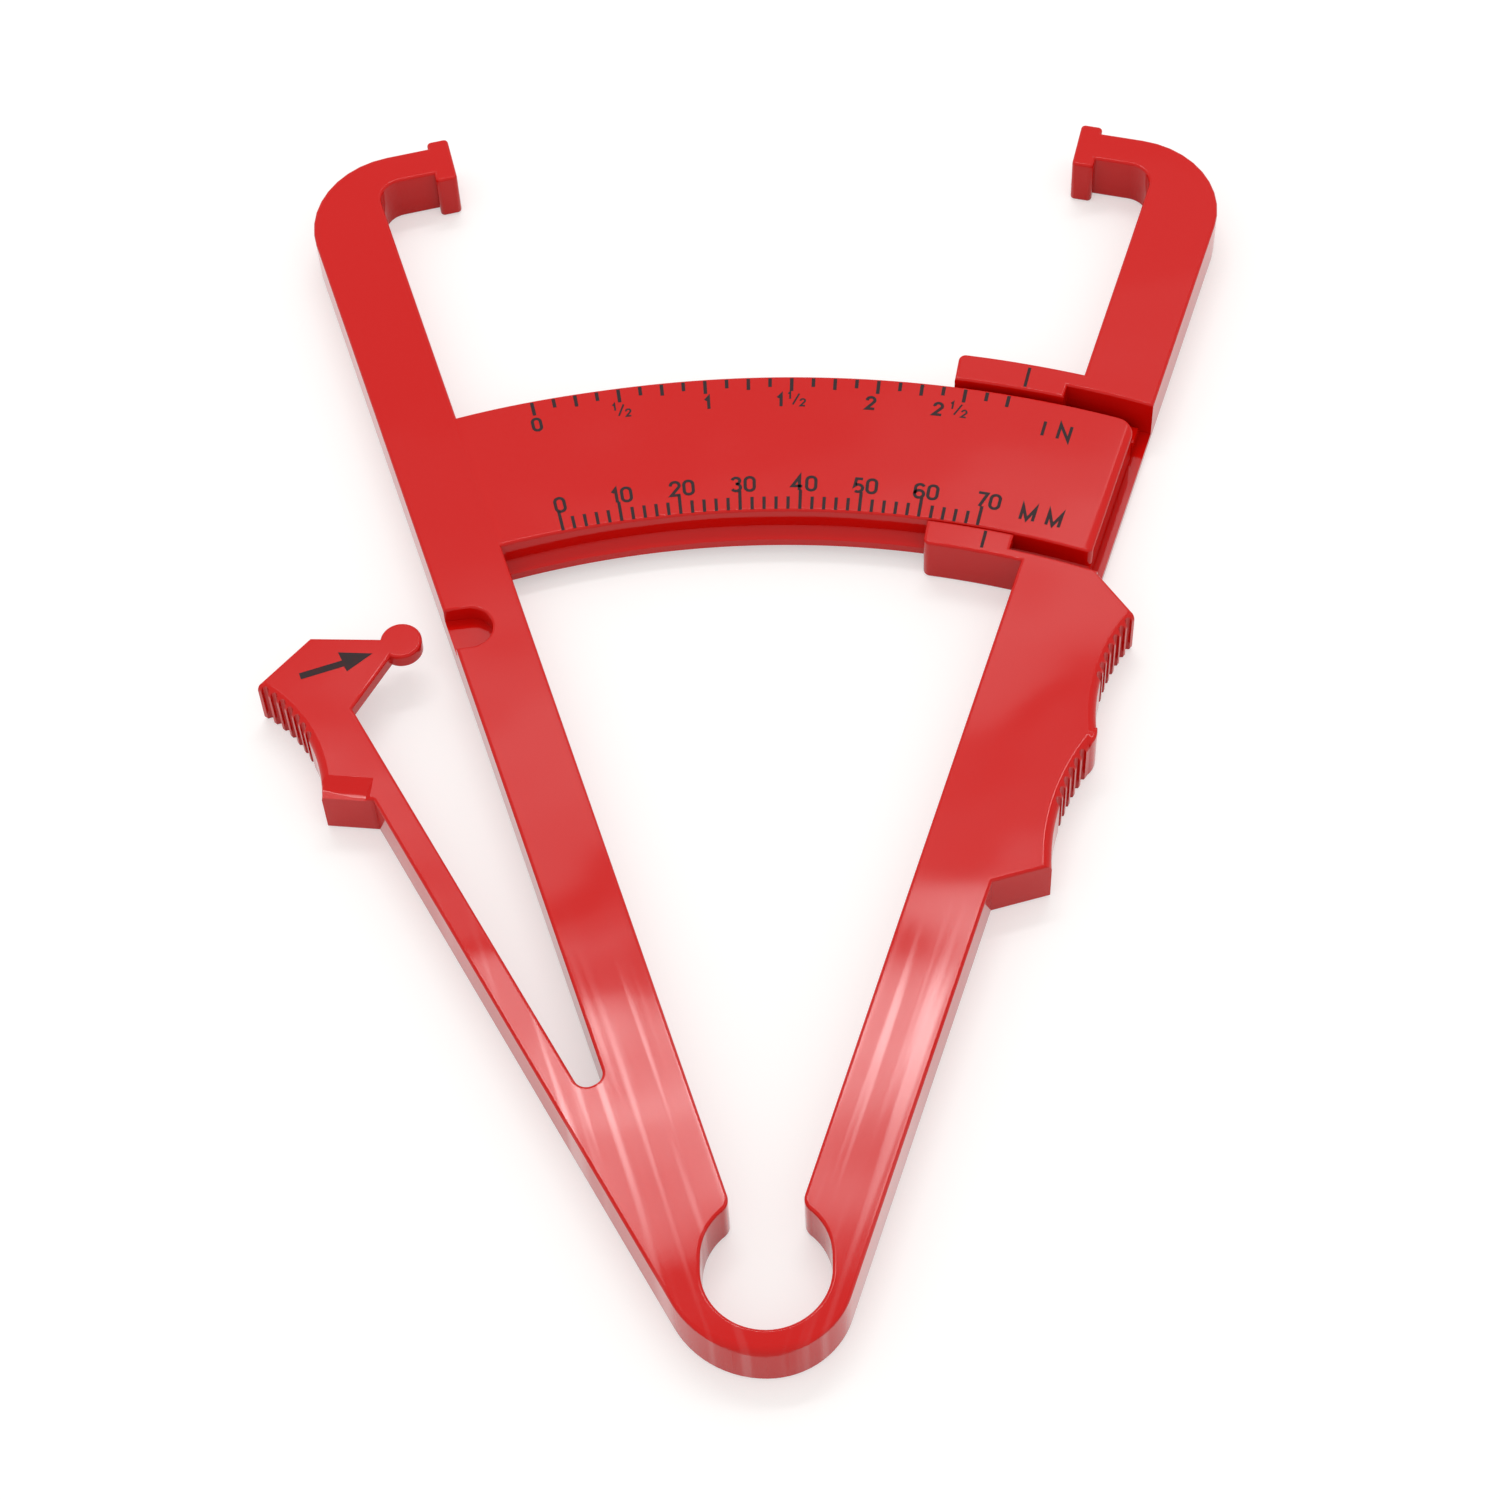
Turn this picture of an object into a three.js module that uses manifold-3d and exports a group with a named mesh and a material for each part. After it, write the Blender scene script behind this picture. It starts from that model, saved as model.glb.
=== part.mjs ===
// Skinfold caliper, a springy plastic moulding, laid out as its working members.
// Two long arms carry hooked jaws and meet in a loop spring. A curved scale on the left arm
// slides through a channel in the right arm, between two index tabs. A thumb lever on a slim
// beam swings a small disc into a pocket in the left arm.
// Millimetres, +Z up. The plan is drawn about the pivot, the point the right arm turns about,
// with +Y from the loop to the jaws and angles counted from +Y out to the right.

import * as THREE from 'three';
import { mergeVertices } from 'three/addons/utils/BufferGeometryUtils.js';
import Module from 'manifold-3d';

// Moulding
const THICKNESS = 6;
const RUNNING_GAP = 0.3;
const OVERRUN = 1;
const SWEEP_OVERRUN = 5;
const ARC_STEP = 7;
const WIDE_ARC_STEP = 1.6;

// Arms: each edge is a line that crosses the pivot's level at its foot and leans outward
const INNER_ANGLE = 17.64;
const INNER_FOOT = -1.18;
const ARM_FOOT_WIDTH = 7.56;
const OUTER_ANGLE = 18.18;

// Loop spring: a hole with straight sides between two round ends
const LOOP_HOLE_RADIUS = 6.2;
const LOOP_HOLE_RISE = 7.7;
const LOOP_HOLE_STRETCH = 1.3;
const LOOP_DROP = 1;
const NECK_ROUND = 1.6;

// Jaws: a hook on each arm and a pad whose face points at the pivot
const PAD_ANGLE = 13.65;
const PAD_START = 148.2;
const PAD_LENGTH = 6.2;
const PAD_DEPTH = 2.45;
const PAD_ROUND = 0.5;
const BAR_SETBACK = 1.3;
const BAR_WIDTH = 3.95;
const HOOK_RUN = 10.2;
const HOOK_OUTER_ROUND = 10;
const HOOK_INNER_ROUND = 2.6;

// Scale: a ring sector about the pivot, rebated along both curved edges
const SCALE_INNER_RADIUS = 96;
const SCALE_WIDTH = 18.3;
const FACE_DROP = 0.3;
const REBATE_DEPTH = 2.6;
const LEDGE_WIDTH = 1.55;
const SCALE_END_MARGIN = 1.25;
const SCALE_END_ROUND = 2;
const SCALE_FOOT_ROUND = 0.7;

// Channel and index tabs
const FLOOR_THICKNESS = 1.1;
const CHANNEL_ROOM_BELOW = 2.15;
const CHANNEL_ROOM_ABOVE = 2.4;
const TAB_START_ANGLE = 10.4;
const LOWER_TAB_END_ANGLE = 16;
const LOWER_TAB_GAP = 0.25;
const LOWER_TAB_WIDTH = 3.1;
const UPPER_TAB_END_ANGLE = 16.4;
const UPPER_TAB_GAP = 0.75;
const UPPER_TAB_WIDTH = 3.65;
const TAB_ROUND = 0.8;

// Finger grip, along the right arm's outer edge and out from it
const GRIP_TOP = 91.4;
const GRIP_TOP_RUN = 4.1;
const GRIP_HEIGHT = 5.2;
const UPPER_SCALLOP_LENGTH = 12.1;
const UPPER_SCALLOP_DEPTH = 1.85;
const GRIP_PEAK_LENGTH = 2.2;
const LOWER_SCALLOP_LENGTH = 17.6;
const LOWER_SCALLOP_DEPTH = 1.65;
const GRIP_HEEL_RUN = 3.5;

// Ridges of the grips: rows of round grooves
const GROOVE_RADIUS = 0.42;
const GROOVE_PITCH = 1.24;
const GROOVE_LEAD = 0.9;
const UPPER_GROOVES = 7;
const LOWER_GROOVES = 6;
const LOWER_GROOVE_LEAD = 3.2;
const THUMB_GROOVES = 7;

// Thumb lever, along its outer edge, which also bounds the foot of the left arm
const LEVER_ANGLE = 28.96;
const LEVER_FOOT = 6.51;
const BEAM_WIDTH = 2.95;
const SLOT_END = 28.75;
const SLOT_ROUND = 1.3;
const BEAM_ROOT = 31;
const BEAM_LENGTH = 37.8;
const HEEL_RUN = 3.1;
const THUMB_SCALLOP_LENGTH = 15.6;
const THUMB_SCALLOP_DEPTH = 1.9;
const THUMB_PAD_HEIGHT = 4.45;
const THUMB_PAD_TOP_RUN = 2.7;
const HEAD_LENGTH = 10.2;
const HEAD_REACH = 6.3;
const HEAD_THICKNESS = 1.65;
const NECK_WIDTH = 2.5;
const NECK_SHIFT = 0.05;
const DISC_RADIUS = 2.2;

// Click: where the lever turns, how far, and the pocket that the disc ends in
const LEVER_TURN = 41;
const PRESS_ANGLE = 9.2;
const POCKET_CLEARANCE = 0.25;
const POCKET_DEPTH = 3.8;

const wasm = await Module();
wasm.setup();

const rad = THREE.MathUtils.degToRad;
const LEFT = -1;
const RIGHT = 1;
const SCALE_OUTER_RADIUS = SCALE_INNER_RADIUS + SCALE_WIDTH;
const SCALE_FACE = THICKNESS - FACE_DROP;
const LEDGE_TOP = SCALE_FACE - REBATE_DEPTH;
const OUTER_FOOT = INNER_FOOT + ARM_FOOT_WIDTH;
const JAW_ROOT = PAD_START - HOOK_RUN;
const BEAM_TIP = BEAM_ROOT + BEAM_LENGTH;

// A frame along a straight edge: along runs up the edge, out runs away from the middle
function edgeFrame(side, foot, angle) {
  const sine = Math.sin(rad(angle));
  const cosine = Math.cos(rad(angle));
  return (along, out = 0) =>
    new THREE.Vector2(side * (foot + along * sine + out * cosine), along * cosine - out * sine);
}

const innerEdge = (side) => edgeFrame(side, INNER_FOOT, INNER_ANGLE);
const outerEdge = (side) => edgeFrame(side, OUTER_FOOT, OUTER_ANGLE);
const padEdge = (side) => edgeFrame(side, 0, PAD_ANGLE);
const leverEdge = edgeFrame(LEFT, LEVER_FOOT, LEVER_ANGLE);

// A point at a radius and angle about the pivot
function polar(radius, angle) {
  return new THREE.Vector2(radius * Math.sin(rad(angle)), radius * Math.cos(rad(angle)));
}

// Where the line through a and b meets the line through c and d
function crossing(a, b, c, d) {
  const ab = b.clone().sub(a);
  const cd = d.clone().sub(c);
  const share = c.clone().sub(a).cross(cd) / ab.cross(cd);
  return a.clone().addScaledVector(ab, share);
}

// The point of an edge at a given height above the pivot's level
function atHeight(frame, height) {
  const start = new THREE.Vector2(0, height);
  return crossing(frame(0), frame(OVERRUN), start, start.clone().setX(OVERRUN));
}

// The distance along an edge at which it lies a given radius from the pivot
function alongAtRadius(frame, radius) {
  const foot = frame(0);
  const direction = frame(OVERRUN).sub(foot).normalize();
  const middle = -foot.dot(direction);
  const offset = foot.cross(direction);
  return middle + Math.sqrt(radius ** 2 - offset ** 2);
}

// Points round a centre between two angles, counted from +Y to the right
function arc(centre, radius, from, to, step = ARC_STEP) {
  const count = Math.max(2, Math.ceil(Math.abs(to - from) / step));
  return Array.from({ length: count + 1 }, (_, i) =>
    polar(radius, from + ((to - from) * i) / count).add(centre)
  );
}

const PIVOT = new THREE.Vector2(0, 0);
const ringArc = (radius, from, to) => arc(PIVOT, radius, from, to, WIDE_ARC_STEP);

// The arc that rounds the corner between two straight edges
function roundCorner(before, corner, after, radius) {
  const back = before.clone().sub(corner).normalize();
  const ahead = after.clone().sub(corner).normalize();
  const half = Math.acos(THREE.MathUtils.clamp(back.dot(ahead), -1, 1)) / 2;
  const centre = back.clone().add(ahead).setLength(radius / Math.sin(half)).add(corner);
  const start = corner.clone().addScaledVector(back, radius / Math.tan(half)).sub(centre);
  const end = corner.clone().addScaledVector(ahead, radius / Math.tan(half)).sub(centre);
  const turn = Math.atan2(start.cross(end), start.dot(end));
  const count = Math.max(2, Math.ceil(Math.abs(turn) / rad(ARC_STEP * 2)));
  return Array.from({ length: count + 1 }, (_, i) =>
    start.clone().rotateAround(PIVOT, (turn * i) / count).add(centre)
  );
}

// An outline from corners, each a point or a point with the radius that rounds it
function outline(corners) {
  const list = corners.map((corner) => (Array.isArray(corner) ? corner : [corner, 0]));
  return list.flatMap(([point, radius], i) => {
    const before = list[(i + list.length - 1) % list.length][0];
    const after = list[(i + 1) % list.length][0];
    return radius > 0 ? roundCorner(before, point, after, radius) : [point];
  });
}

// A hollow between two points of a frame, sunk toward the arm, with a row of round grooves
function scallop(frame, start, end, out, depth, grooves, lead) {
  const chord = end - start;
  const radius = (chord ** 2 / 4 + depth ** 2) / (2 * depth);
  const centreOut = out - depth + radius;
  const spread = Math.asin(chord / 2 / radius);
  const middle = (start + end) / 2;
  const at = (turn, sink = 0) =>
    frame(middle + (radius + sink) * Math.sin(turn), centreOut - (radius + sink) * Math.cos(turn));
  const sign = Math.sign(chord);
  const places = Array.from({ length: grooves }, (_, i) =>
    sign * ((lead + i * GROOVE_PITCH) / radius) - spread
  );
  const half = (sign * GROOVE_RADIUS) / radius;
  const points = [at(-spread)];
  for (const place of places) {
    for (const share of [-1, -0.7, 0, 0.7, 1]) {
      points.push(at(place + half * share, GROOVE_RADIUS * Math.sqrt(1 - share ** 2)));
    }
  }
  const rest = (places.at(-1) ?? -spread) + half;
  const count = Math.ceil(Math.abs(spread - rest) / rad(ARC_STEP));
  for (let i = 1; i <= count; i += 1) {
    points.push(at(rest + ((spread - rest) * i) / count));
  }
  return points;
}

// A flat slab of an outline between two heights
function slab(points, bottom, top) {
  const geometry = new THREE.ExtrudeGeometry(new THREE.Shape(points), {
    depth: top - bottom,
    bevelEnabled: false,
  });
  return geometry.translate(0, 0, bottom);
}

function solid(geometry) {
  const bare = geometry.clone();
  bare.deleteAttribute('normal');
  bare.deleteAttribute('uv');
  const merged = mergeVertices(bare);
  const vertProperties = new Float32Array(merged.attributes.position.array);
  const triVerts = new Uint32Array(merged.index.array);
  return new wasm.Manifold(new wasm.Mesh({ numProp: 3, vertProperties, triVerts }));
}

function shell(body) {
  const mesh = body.getMesh();
  const geometry = new THREE.BufferGeometry();
  geometry.setAttribute('position', new THREE.BufferAttribute(mesh.vertProperties, 3));
  geometry.setIndex(new THREE.BufferAttribute(mesh.triVerts, 1));
  geometry.computeVertexNormals();
  return geometry;
}

// A slab between two radii about the pivot and two angles
function ringSlab(inner, outer, from, to, bottom, top) {
  return slab([...ringArc(outer, from, to), ...ringArc(inner, to, from)], bottom, top);
}

// Arms

const holeLow = new THREE.Vector2(0, LOOP_HOLE_RISE);
const holeHigh = new THREE.Vector2(0, LOOP_HOLE_RISE + LOOP_HOLE_STRETCH);

// The corner where an arm's inner edge meets the loop hole, and the hole's wall below it
function neck(side) {
  const frame = innerEdge(side);
  const foot = frame(0).sub(holeHigh);
  const direction = frame(OVERRUN).sub(frame(0)).normalize();
  const along = -foot.dot(direction) + Math.sqrt(LOOP_HOLE_RADIUS ** 2 - foot.cross(direction) ** 2);
  const corner = frame(along);
  const angle = THREE.MathUtils.radToDeg(Math.asin(Math.abs(corner.x) / LOOP_HOLE_RADIUS));
  const wall = arc(holeHigh, LOOP_HOLE_RADIUS, side * angle, side * 90, ARC_STEP * 2);
  const foothold = holeLow.clone().setX(side * LOOP_HOLE_RADIUS);
  return [[corner, NECK_ROUND], ...wall.slice(1), foothold];
}

function jawRoot(side) {
  const start = innerEdge(side)(JAW_ROOT);
  const across = innerEdge(side)(JAW_ROOT, OVERRUN);
  const end = crossing(start, across, outerEdge(side)(0), outerEdge(side)(JAW_ROOT));
  return { start, end };
}

// Where the lever's disc lies at rest, and where pressing the lever brings it
const headRoot = BEAM_TIP + HEEL_RUN + THUMB_SCALLOP_LENGTH + THUMB_PAD_TOP_RUN - HEAD_LENGTH;
const neckMiddle = headRoot + HEAD_LENGTH / 2 + NECK_SHIFT;
const neckReach = Math.sqrt(DISC_RADIUS ** 2 - NECK_WIDTH ** 2 / 4);
const discAlong = neckMiddle;
const discOut = -BEAM_WIDTH - HEAD_REACH - neckReach;
const leverHinge = leverEdge(LEVER_TURN, -BEAM_WIDTH / 2);
const restDisc = leverEdge(discAlong, discOut);
const pressedDisc = restDisc.clone().rotateAround(leverHinge, -rad(PRESS_ANGLE));

// The pocket: round where the disc ends, open along the way the disc comes in
function pocket() {
  const radius = DISC_RADIUS + POCKET_CLEARANCE;
  const travel = pressedDisc.clone().sub(leverHinge).rotateAround(PIVOT, -Math.PI / 2).normalize();
  const heading = THREE.MathUtils.radToDeg(Math.atan2(travel.x, travel.y));
  const mouth = travel.clone().multiplyScalar(-radius * 2 - OVERRUN);
  const round = arc(pressedDisc, radius, heading - 90, heading + 90, ARC_STEP * 2);
  const points = [...round, round.at(-1).clone().add(mouth), round[0].clone().add(mouth)];
  return slab(points, THICKNESS - POCKET_DEPTH, THICKNESS + OVERRUN);
}

function leftArm() {
  const { start, end } = jawRoot(LEFT);
  const slotFloor = [leverEdge(SLOT_END), leverEdge(SLOT_END, -BEAM_WIDTH)];
  const slotCorner = crossing(...slotFloor, outerEdge(LEFT)(0), outerEdge(LEFT)(JAW_ROOT));
  const points = outline([
    atHeight(leverEdge, LOOP_HOLE_RISE),
    leverEdge(BEAM_ROOT),
    leverEdge(BEAM_ROOT, -BEAM_WIDTH),
    [slotFloor[1], SLOT_ROUND],
    [slotCorner, SLOT_ROUND],
    end,
    start,
    ...neck(LEFT),
  ]);
  return shell(solid(slab(points, 0, THICKNESS)).subtract(solid(pocket())));
}

// The right arm carries the channel: a floor under the scale, open to the right
const channelBottom = SCALE_INNER_RADIUS - CHANNEL_ROOM_BELOW;
const channelTop = SCALE_OUTER_RADIUS + CHANNEL_ROOM_ABOVE;
const lowerTabTop = SCALE_INNER_RADIUS - LOWER_TAB_GAP;
const lowerTabBottom = lowerTabTop - LOWER_TAB_WIDTH;
const upperTabBottom = SCALE_OUTER_RADIUS + UPPER_TAB_GAP;
const upperTabTop = upperTabBottom + UPPER_TAB_WIDTH;

function angleOf(point) {
  return THREE.MathUtils.radToDeg(Math.atan2(point.x, point.y));
}

// A ring slab that starts at an angle and runs into the arm
function intoArm(inner, outer, from, bottom, top) {
  const frame = innerEdge(RIGHT);
  const within = angleOf(frame(alongAtRadius(frame, inner), ARM_FOOT_WIDTH / 2));
  return solid(ringSlab(inner, outer, from, within, bottom, top));
}

function rightArm() {
  const { start, end } = jawRoot(RIGHT);
  const edge = outerEdge(RIGHT);
  const points = outline([atHeight(edge, LOOP_HOLE_RISE), end, start, ...neck(RIGHT)]);
  const from = TAB_START_ANGLE - SWEEP_OVERRUN;
  const to = angleOf(edge(alongAtRadius(edge, channelBottom))) + SWEEP_OVERRUN;
  const channel = ringSlab(
    channelBottom, channelTop, from, to, FLOOR_THICKNESS, THICKNESS + OVERRUN
  );
  return shell(
    solid(slab(points, 0, THICKNESS))
      .add(intoArm(lowerTabBottom, upperTabTop, TAB_START_ANGLE, 0, FLOOR_THICKNESS))
      .add(intoArm(lowerTabBottom, channelBottom + OVERRUN, LOWER_TAB_END_ANGLE, 0, THICKNESS))
      .add(intoArm(channelTop - OVERRUN, upperTabTop, UPPER_TAB_END_ANGLE, 0, THICKNESS))
      .subtract(solid(channel))
  );
}

// An index tab stands on the channel floor and reaches over the scale's ledge
function tabOutline(inner, outer, from, to, roundOuter) {
  const low = ringArc(inner, to, from);
  const high = ringArc(outer, from, to);
  if (roundOuter) {
    high[0] = [high[0], TAB_ROUND];
  } else {
    low[low.length - 1] = [low.at(-1), TAB_ROUND];
  }
  return outline([...high, ...low]);
}

function indexTab(inner, outer, roomInner, roomOuter, end, roundOuter) {
  const points = tabOutline(inner, outer, TAB_START_ANGLE, end, roundOuter);
  const room = ringSlab(
    roomInner, roomOuter, TAB_START_ANGLE - SWEEP_OVERRUN, end + SWEEP_OVERRUN,
    FLOOR_THICKNESS - OVERRUN, LEDGE_TOP + RUNNING_GAP
  );
  return shell(solid(slab(points, FLOOR_THICKNESS, THICKNESS)).subtract(solid(room)));
}

function lowerIndexTab() {
  const ledgeEdge = SCALE_INNER_RADIUS - LEDGE_WIDTH - RUNNING_GAP;
  return indexTab(
    lowerTabBottom, lowerTabTop, ledgeEdge, SCALE_INNER_RADIUS + OVERRUN, LOWER_TAB_END_ANGLE, false
  );
}

function upperIndexTab() {
  const ledgeEdge = SCALE_OUTER_RADIUS + LEDGE_WIDTH + RUNNING_GAP;
  return indexTab(
    upperTabBottom, upperTabTop, SCALE_OUTER_RADIUS - OVERRUN, ledgeEdge, UPPER_TAB_END_ANGLE, true
  );
}

// Scale

// The corners of the scale on the left arm's edge and on its free end, at a radius
function scaleCorners(radius) {
  const root = innerEdge(LEFT);
  const end = (along) => outerEdge(RIGHT)(along, -SCALE_END_MARGIN);
  return { root: root(alongAtRadius(root, radius)), end: end(alongAtRadius(end, radius)) };
}

// A rebate along a curved edge, from before the left arm to round the free end's corner
function rebate(radius, beyond, round) {
  const corners = scaleCorners(radius);
  const other = scaleCorners((SCALE_INNER_RADIUS + SCALE_OUTER_RADIUS) / 2).end;
  const before = angleOf(corners.root) - SWEEP_OVERRUN;
  const edge = ringArc(radius, before, angleOf(corners.end)).slice(0, -1);
  const bend = roundCorner(edge.at(-1), corners.end, other, round);
  const last = bend.at(-1).clone().sub(bend.at(-2)).setLength(OVERRUN).add(bend.at(-1));
  const past = angleOf(last) + SWEEP_OVERRUN;
  const outside = polar(last.length(), past);
  const points = [...edge, ...bend, last, outside, ...ringArc(beyond, past, before)];
  return slab(points, LEDGE_TOP, SCALE_FACE + OVERRUN);
}

function scaleSector() {
  const inner = SCALE_INNER_RADIUS - LEDGE_WIDTH;
  const outer = SCALE_OUTER_RADIUS + LEDGE_WIDTH;
  const top = scaleCorners(outer);
  const foot = scaleCorners(inner);
  const points = outline([
    ...ringArc(outer, angleOf(top.root), angleOf(top.end)).slice(0, -1),
    [top.end, SCALE_END_ROUND],
    [foot.end, SCALE_FOOT_ROUND],
    ...ringArc(inner, angleOf(foot.end), angleOf(foot.root)).slice(1),
  ]);
  return shell(
    solid(slab(points, FLOOR_THICKNESS + RUNNING_GAP, SCALE_FACE))
      .subtract(solid(rebate(SCALE_OUTER_RADIUS, outer + OVERRUN, SCALE_END_ROUND)))
      .subtract(solid(rebate(SCALE_INNER_RADIUS, inner - OVERRUN, SCALE_FOOT_ROUND)))
  );
}

// Loop spring: the lower half of the loop, with each outer bend tangent to its arm's edge

function bendRadius(foot, angle) {
  const sine = Math.sin(rad(angle));
  return (foot * Math.cos(rad(angle)) - LOOP_DROP * sine) / (1 - sine);
}

function loopSpring() {
  const bend = (side, foot, angle) => {
    const radius = bendRadius(foot, angle);
    const centre = new THREE.Vector2(0, radius - LOOP_DROP);
    return arc(centre, radius, side * (90 + angle), side * 180);
  };
  const points = [
    atHeight(outerEdge(RIGHT), LOOP_HOLE_RISE),
    ...bend(RIGHT, OUTER_FOOT, OUTER_ANGLE),
    ...bend(LEFT, LEVER_FOOT, LEVER_ANGLE).reverse().slice(1),
    atHeight(leverEdge, LOOP_HOLE_RISE),
    ...arc(holeLow, LOOP_HOLE_RADIUS, 270, 90),
  ];
  return slab(points, 0, THICKNESS);
}

// Jaws

function hook(side) {
  const pad = padEdge(side);
  const { start, end } = jawRoot(side);
  const barInner = PAD_START + BAR_SETBACK;
  const barOuter = barInner + BAR_WIDTH;
  const barLine = (radius) => [pad(radius, 0), pad(radius, PAD_DEPTH)];
  const outerLine = [outerEdge(side)(0), outerEdge(side)(JAW_ROOT)];
  const innerLine = [innerEdge(side)(0), innerEdge(side)(JAW_ROOT)];
  const points = outline([
    end,
    [crossing(...barLine(barOuter), ...outerLine), HOOK_OUTER_ROUND],
    pad(barOuter, PAD_DEPTH),
    pad(barInner, PAD_DEPTH),
    [crossing(...barLine(barInner), ...innerLine), HOOK_INNER_ROUND],
    start,
  ]);
  return slab(points, 0, THICKNESS);
}

function jawPad(side) {
  const pad = padEdge(side);
  const padEnd = PAD_START + PAD_LENGTH;
  const points = outline([
    [pad(PAD_START, 0), PAD_ROUND],
    [pad(padEnd, 0), PAD_ROUND],
    [pad(padEnd, PAD_DEPTH), PAD_ROUND],
    [pad(PAD_START, PAD_DEPTH), PAD_ROUND],
  ]);
  return slab(points, 0, THICKNESS);
}

// Finger grip

function fingerGrip() {
  const edge = outerEdge(RIGHT);
  const corner = GRIP_TOP - GRIP_TOP_RUN;
  const upperEnd = corner - UPPER_SCALLOP_LENGTH;
  const peakEnd = upperEnd - GRIP_PEAK_LENGTH;
  const lowerEnd = peakEnd - LOWER_SCALLOP_LENGTH;
  const upper = scallop(
    edge, corner, upperEnd, GRIP_HEIGHT, UPPER_SCALLOP_DEPTH, UPPER_GROOVES, GROOVE_LEAD
  );
  const lower = scallop(
    edge, peakEnd, lowerEnd, GRIP_HEIGHT, LOWER_SCALLOP_DEPTH, LOWER_GROOVES, LOWER_GROOVE_LEAD
  );
  const points = outline([edge(GRIP_TOP), ...upper, ...lower, edge(lowerEnd - GRIP_HEEL_RUN)]);
  return slab(points, 0, THICKNESS);
}

// Thumb lever

function leverBeam() {
  const points = [
    leverEdge(BEAM_ROOT),
    leverEdge(BEAM_TIP),
    leverEdge(BEAM_TIP, -BEAM_WIDTH),
    leverEdge(BEAM_ROOT, -BEAM_WIDTH),
  ];
  return slab(points, 0, THICKNESS);
}

function thumbPad() {
  const heel = BEAM_TIP + HEEL_RUN;
  const crest = heel + THUMB_SCALLOP_LENGTH;
  const ridges = scallop(
    leverEdge, crest, heel, THUMB_PAD_HEIGHT, THUMB_SCALLOP_DEPTH, THUMB_GROOVES, GROOVE_LEAD
  );
  const points = outline([
    leverEdge(BEAM_TIP),
    leverEdge(BEAM_TIP, -BEAM_WIDTH),
    leverEdge(headRoot + HEAD_LENGTH, -BEAM_WIDTH),
    ...ridges,
  ]);
  return slab(points, 0, THICKNESS);
}

function leverHead() {
  const reach = -BEAM_WIDTH - HEAD_REACH;
  const points = [
    leverEdge(headRoot, -BEAM_WIDTH),
    leverEdge(neckMiddle - NECK_WIDTH / 2, reach),
    leverEdge(neckMiddle + NECK_WIDTH / 2, reach),
    leverEdge(headRoot + HEAD_LENGTH, -BEAM_WIDTH),
  ];
  return slab(points, THICKNESS - HEAD_THICKNESS, THICKNESS);
}

function clickDisc() {
  const neckTurn = THREE.MathUtils.radToDeg(Math.asin(NECK_WIDTH / 2 / DISC_RADIUS));
  const count = Math.ceil((360 - 2 * neckTurn) / (ARC_STEP * 2));
  const points = Array.from({ length: count + 1 }, (_, i) => {
    const turn = rad(neckTurn + ((360 - 2 * neckTurn) * i) / count);
    return leverEdge(discAlong + DISC_RADIUS * Math.sin(turn), discOut + DISC_RADIUS * Math.cos(turn));
  });
  return slab(points, THICKNESS - HEAD_THICKNESS, THICKNESS);
}

// The whole caliper, set down with the middle of its footprint at the origin

const members = {
  left_arm: leftArm(),
  left_hook: hook(LEFT),
  left_pad: jawPad(LEFT),
  scale_sector: scaleSector(),
  loop_spring: loopSpring(),
  lever_beam: leverBeam(),
  thumb_pad: thumbPad(),
  lever_head: leverHead(),
  click_disc: clickDisc(),
  right_arm: rightArm(),
  right_hook: hook(RIGHT),
  right_pad: jawPad(RIGHT),
  upper_index_tab: upperIndexTab(),
  lower_index_tab: lowerIndexTab(),
  finger_grip: fingerGrip(),
};

const extent = new THREE.Box3();
for (const geometry of Object.values(members)) {
  geometry.computeBoundingBox();
  extent.union(geometry.boundingBox);
}
const centre = extent.getCenter(new THREE.Vector3());

const caliper = new THREE.Group();
for (const [name, geometry] of Object.entries(members)) {
  const plastic = new THREE.MeshStandardMaterial({ color: 0xcc2d2a, roughness: 0.32, metalness: 0 });
  const member = new THREE.Mesh(geometry.translate(-centre.x, -centre.y, 0), plastic);
  member.name = name;
  caliper.add(member);
}

export default caliper;
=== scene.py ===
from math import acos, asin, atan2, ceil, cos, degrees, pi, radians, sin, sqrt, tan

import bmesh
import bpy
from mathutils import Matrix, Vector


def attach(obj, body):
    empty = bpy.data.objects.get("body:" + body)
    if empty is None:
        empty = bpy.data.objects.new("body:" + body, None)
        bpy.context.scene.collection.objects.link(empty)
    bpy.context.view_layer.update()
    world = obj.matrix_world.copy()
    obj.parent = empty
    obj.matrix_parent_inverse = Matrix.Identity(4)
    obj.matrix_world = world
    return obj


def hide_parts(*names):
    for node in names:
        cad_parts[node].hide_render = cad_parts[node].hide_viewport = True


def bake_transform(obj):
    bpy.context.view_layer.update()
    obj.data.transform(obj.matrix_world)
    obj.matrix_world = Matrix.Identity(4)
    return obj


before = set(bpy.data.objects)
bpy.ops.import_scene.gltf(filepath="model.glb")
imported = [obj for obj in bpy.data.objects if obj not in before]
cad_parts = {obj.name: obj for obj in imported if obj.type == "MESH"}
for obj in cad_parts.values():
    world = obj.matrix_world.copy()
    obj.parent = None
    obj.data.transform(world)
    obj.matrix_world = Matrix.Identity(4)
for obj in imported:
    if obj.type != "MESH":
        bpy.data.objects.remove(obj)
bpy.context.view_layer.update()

# Looks of a red plastic skinfold caliper: one glossy moulding with a printed scale.
# Pieces are drawn in millimetres about the pivot that the right arm turns about, with +Y from
# the loop to the jaws, and are then set down in the model's own frame in metres. Angles are in
# degrees, and those about the pivot count from +Y to the right.

MILLIMETRE = 0.001
UP = Vector((0, 0, 1))
PIVOT = Vector((0, 0, 0))
PIVOT_IN_MODEL = Vector((0.873177, -74.467560, 0))
LEFT, RIGHT = -1, 1

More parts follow.
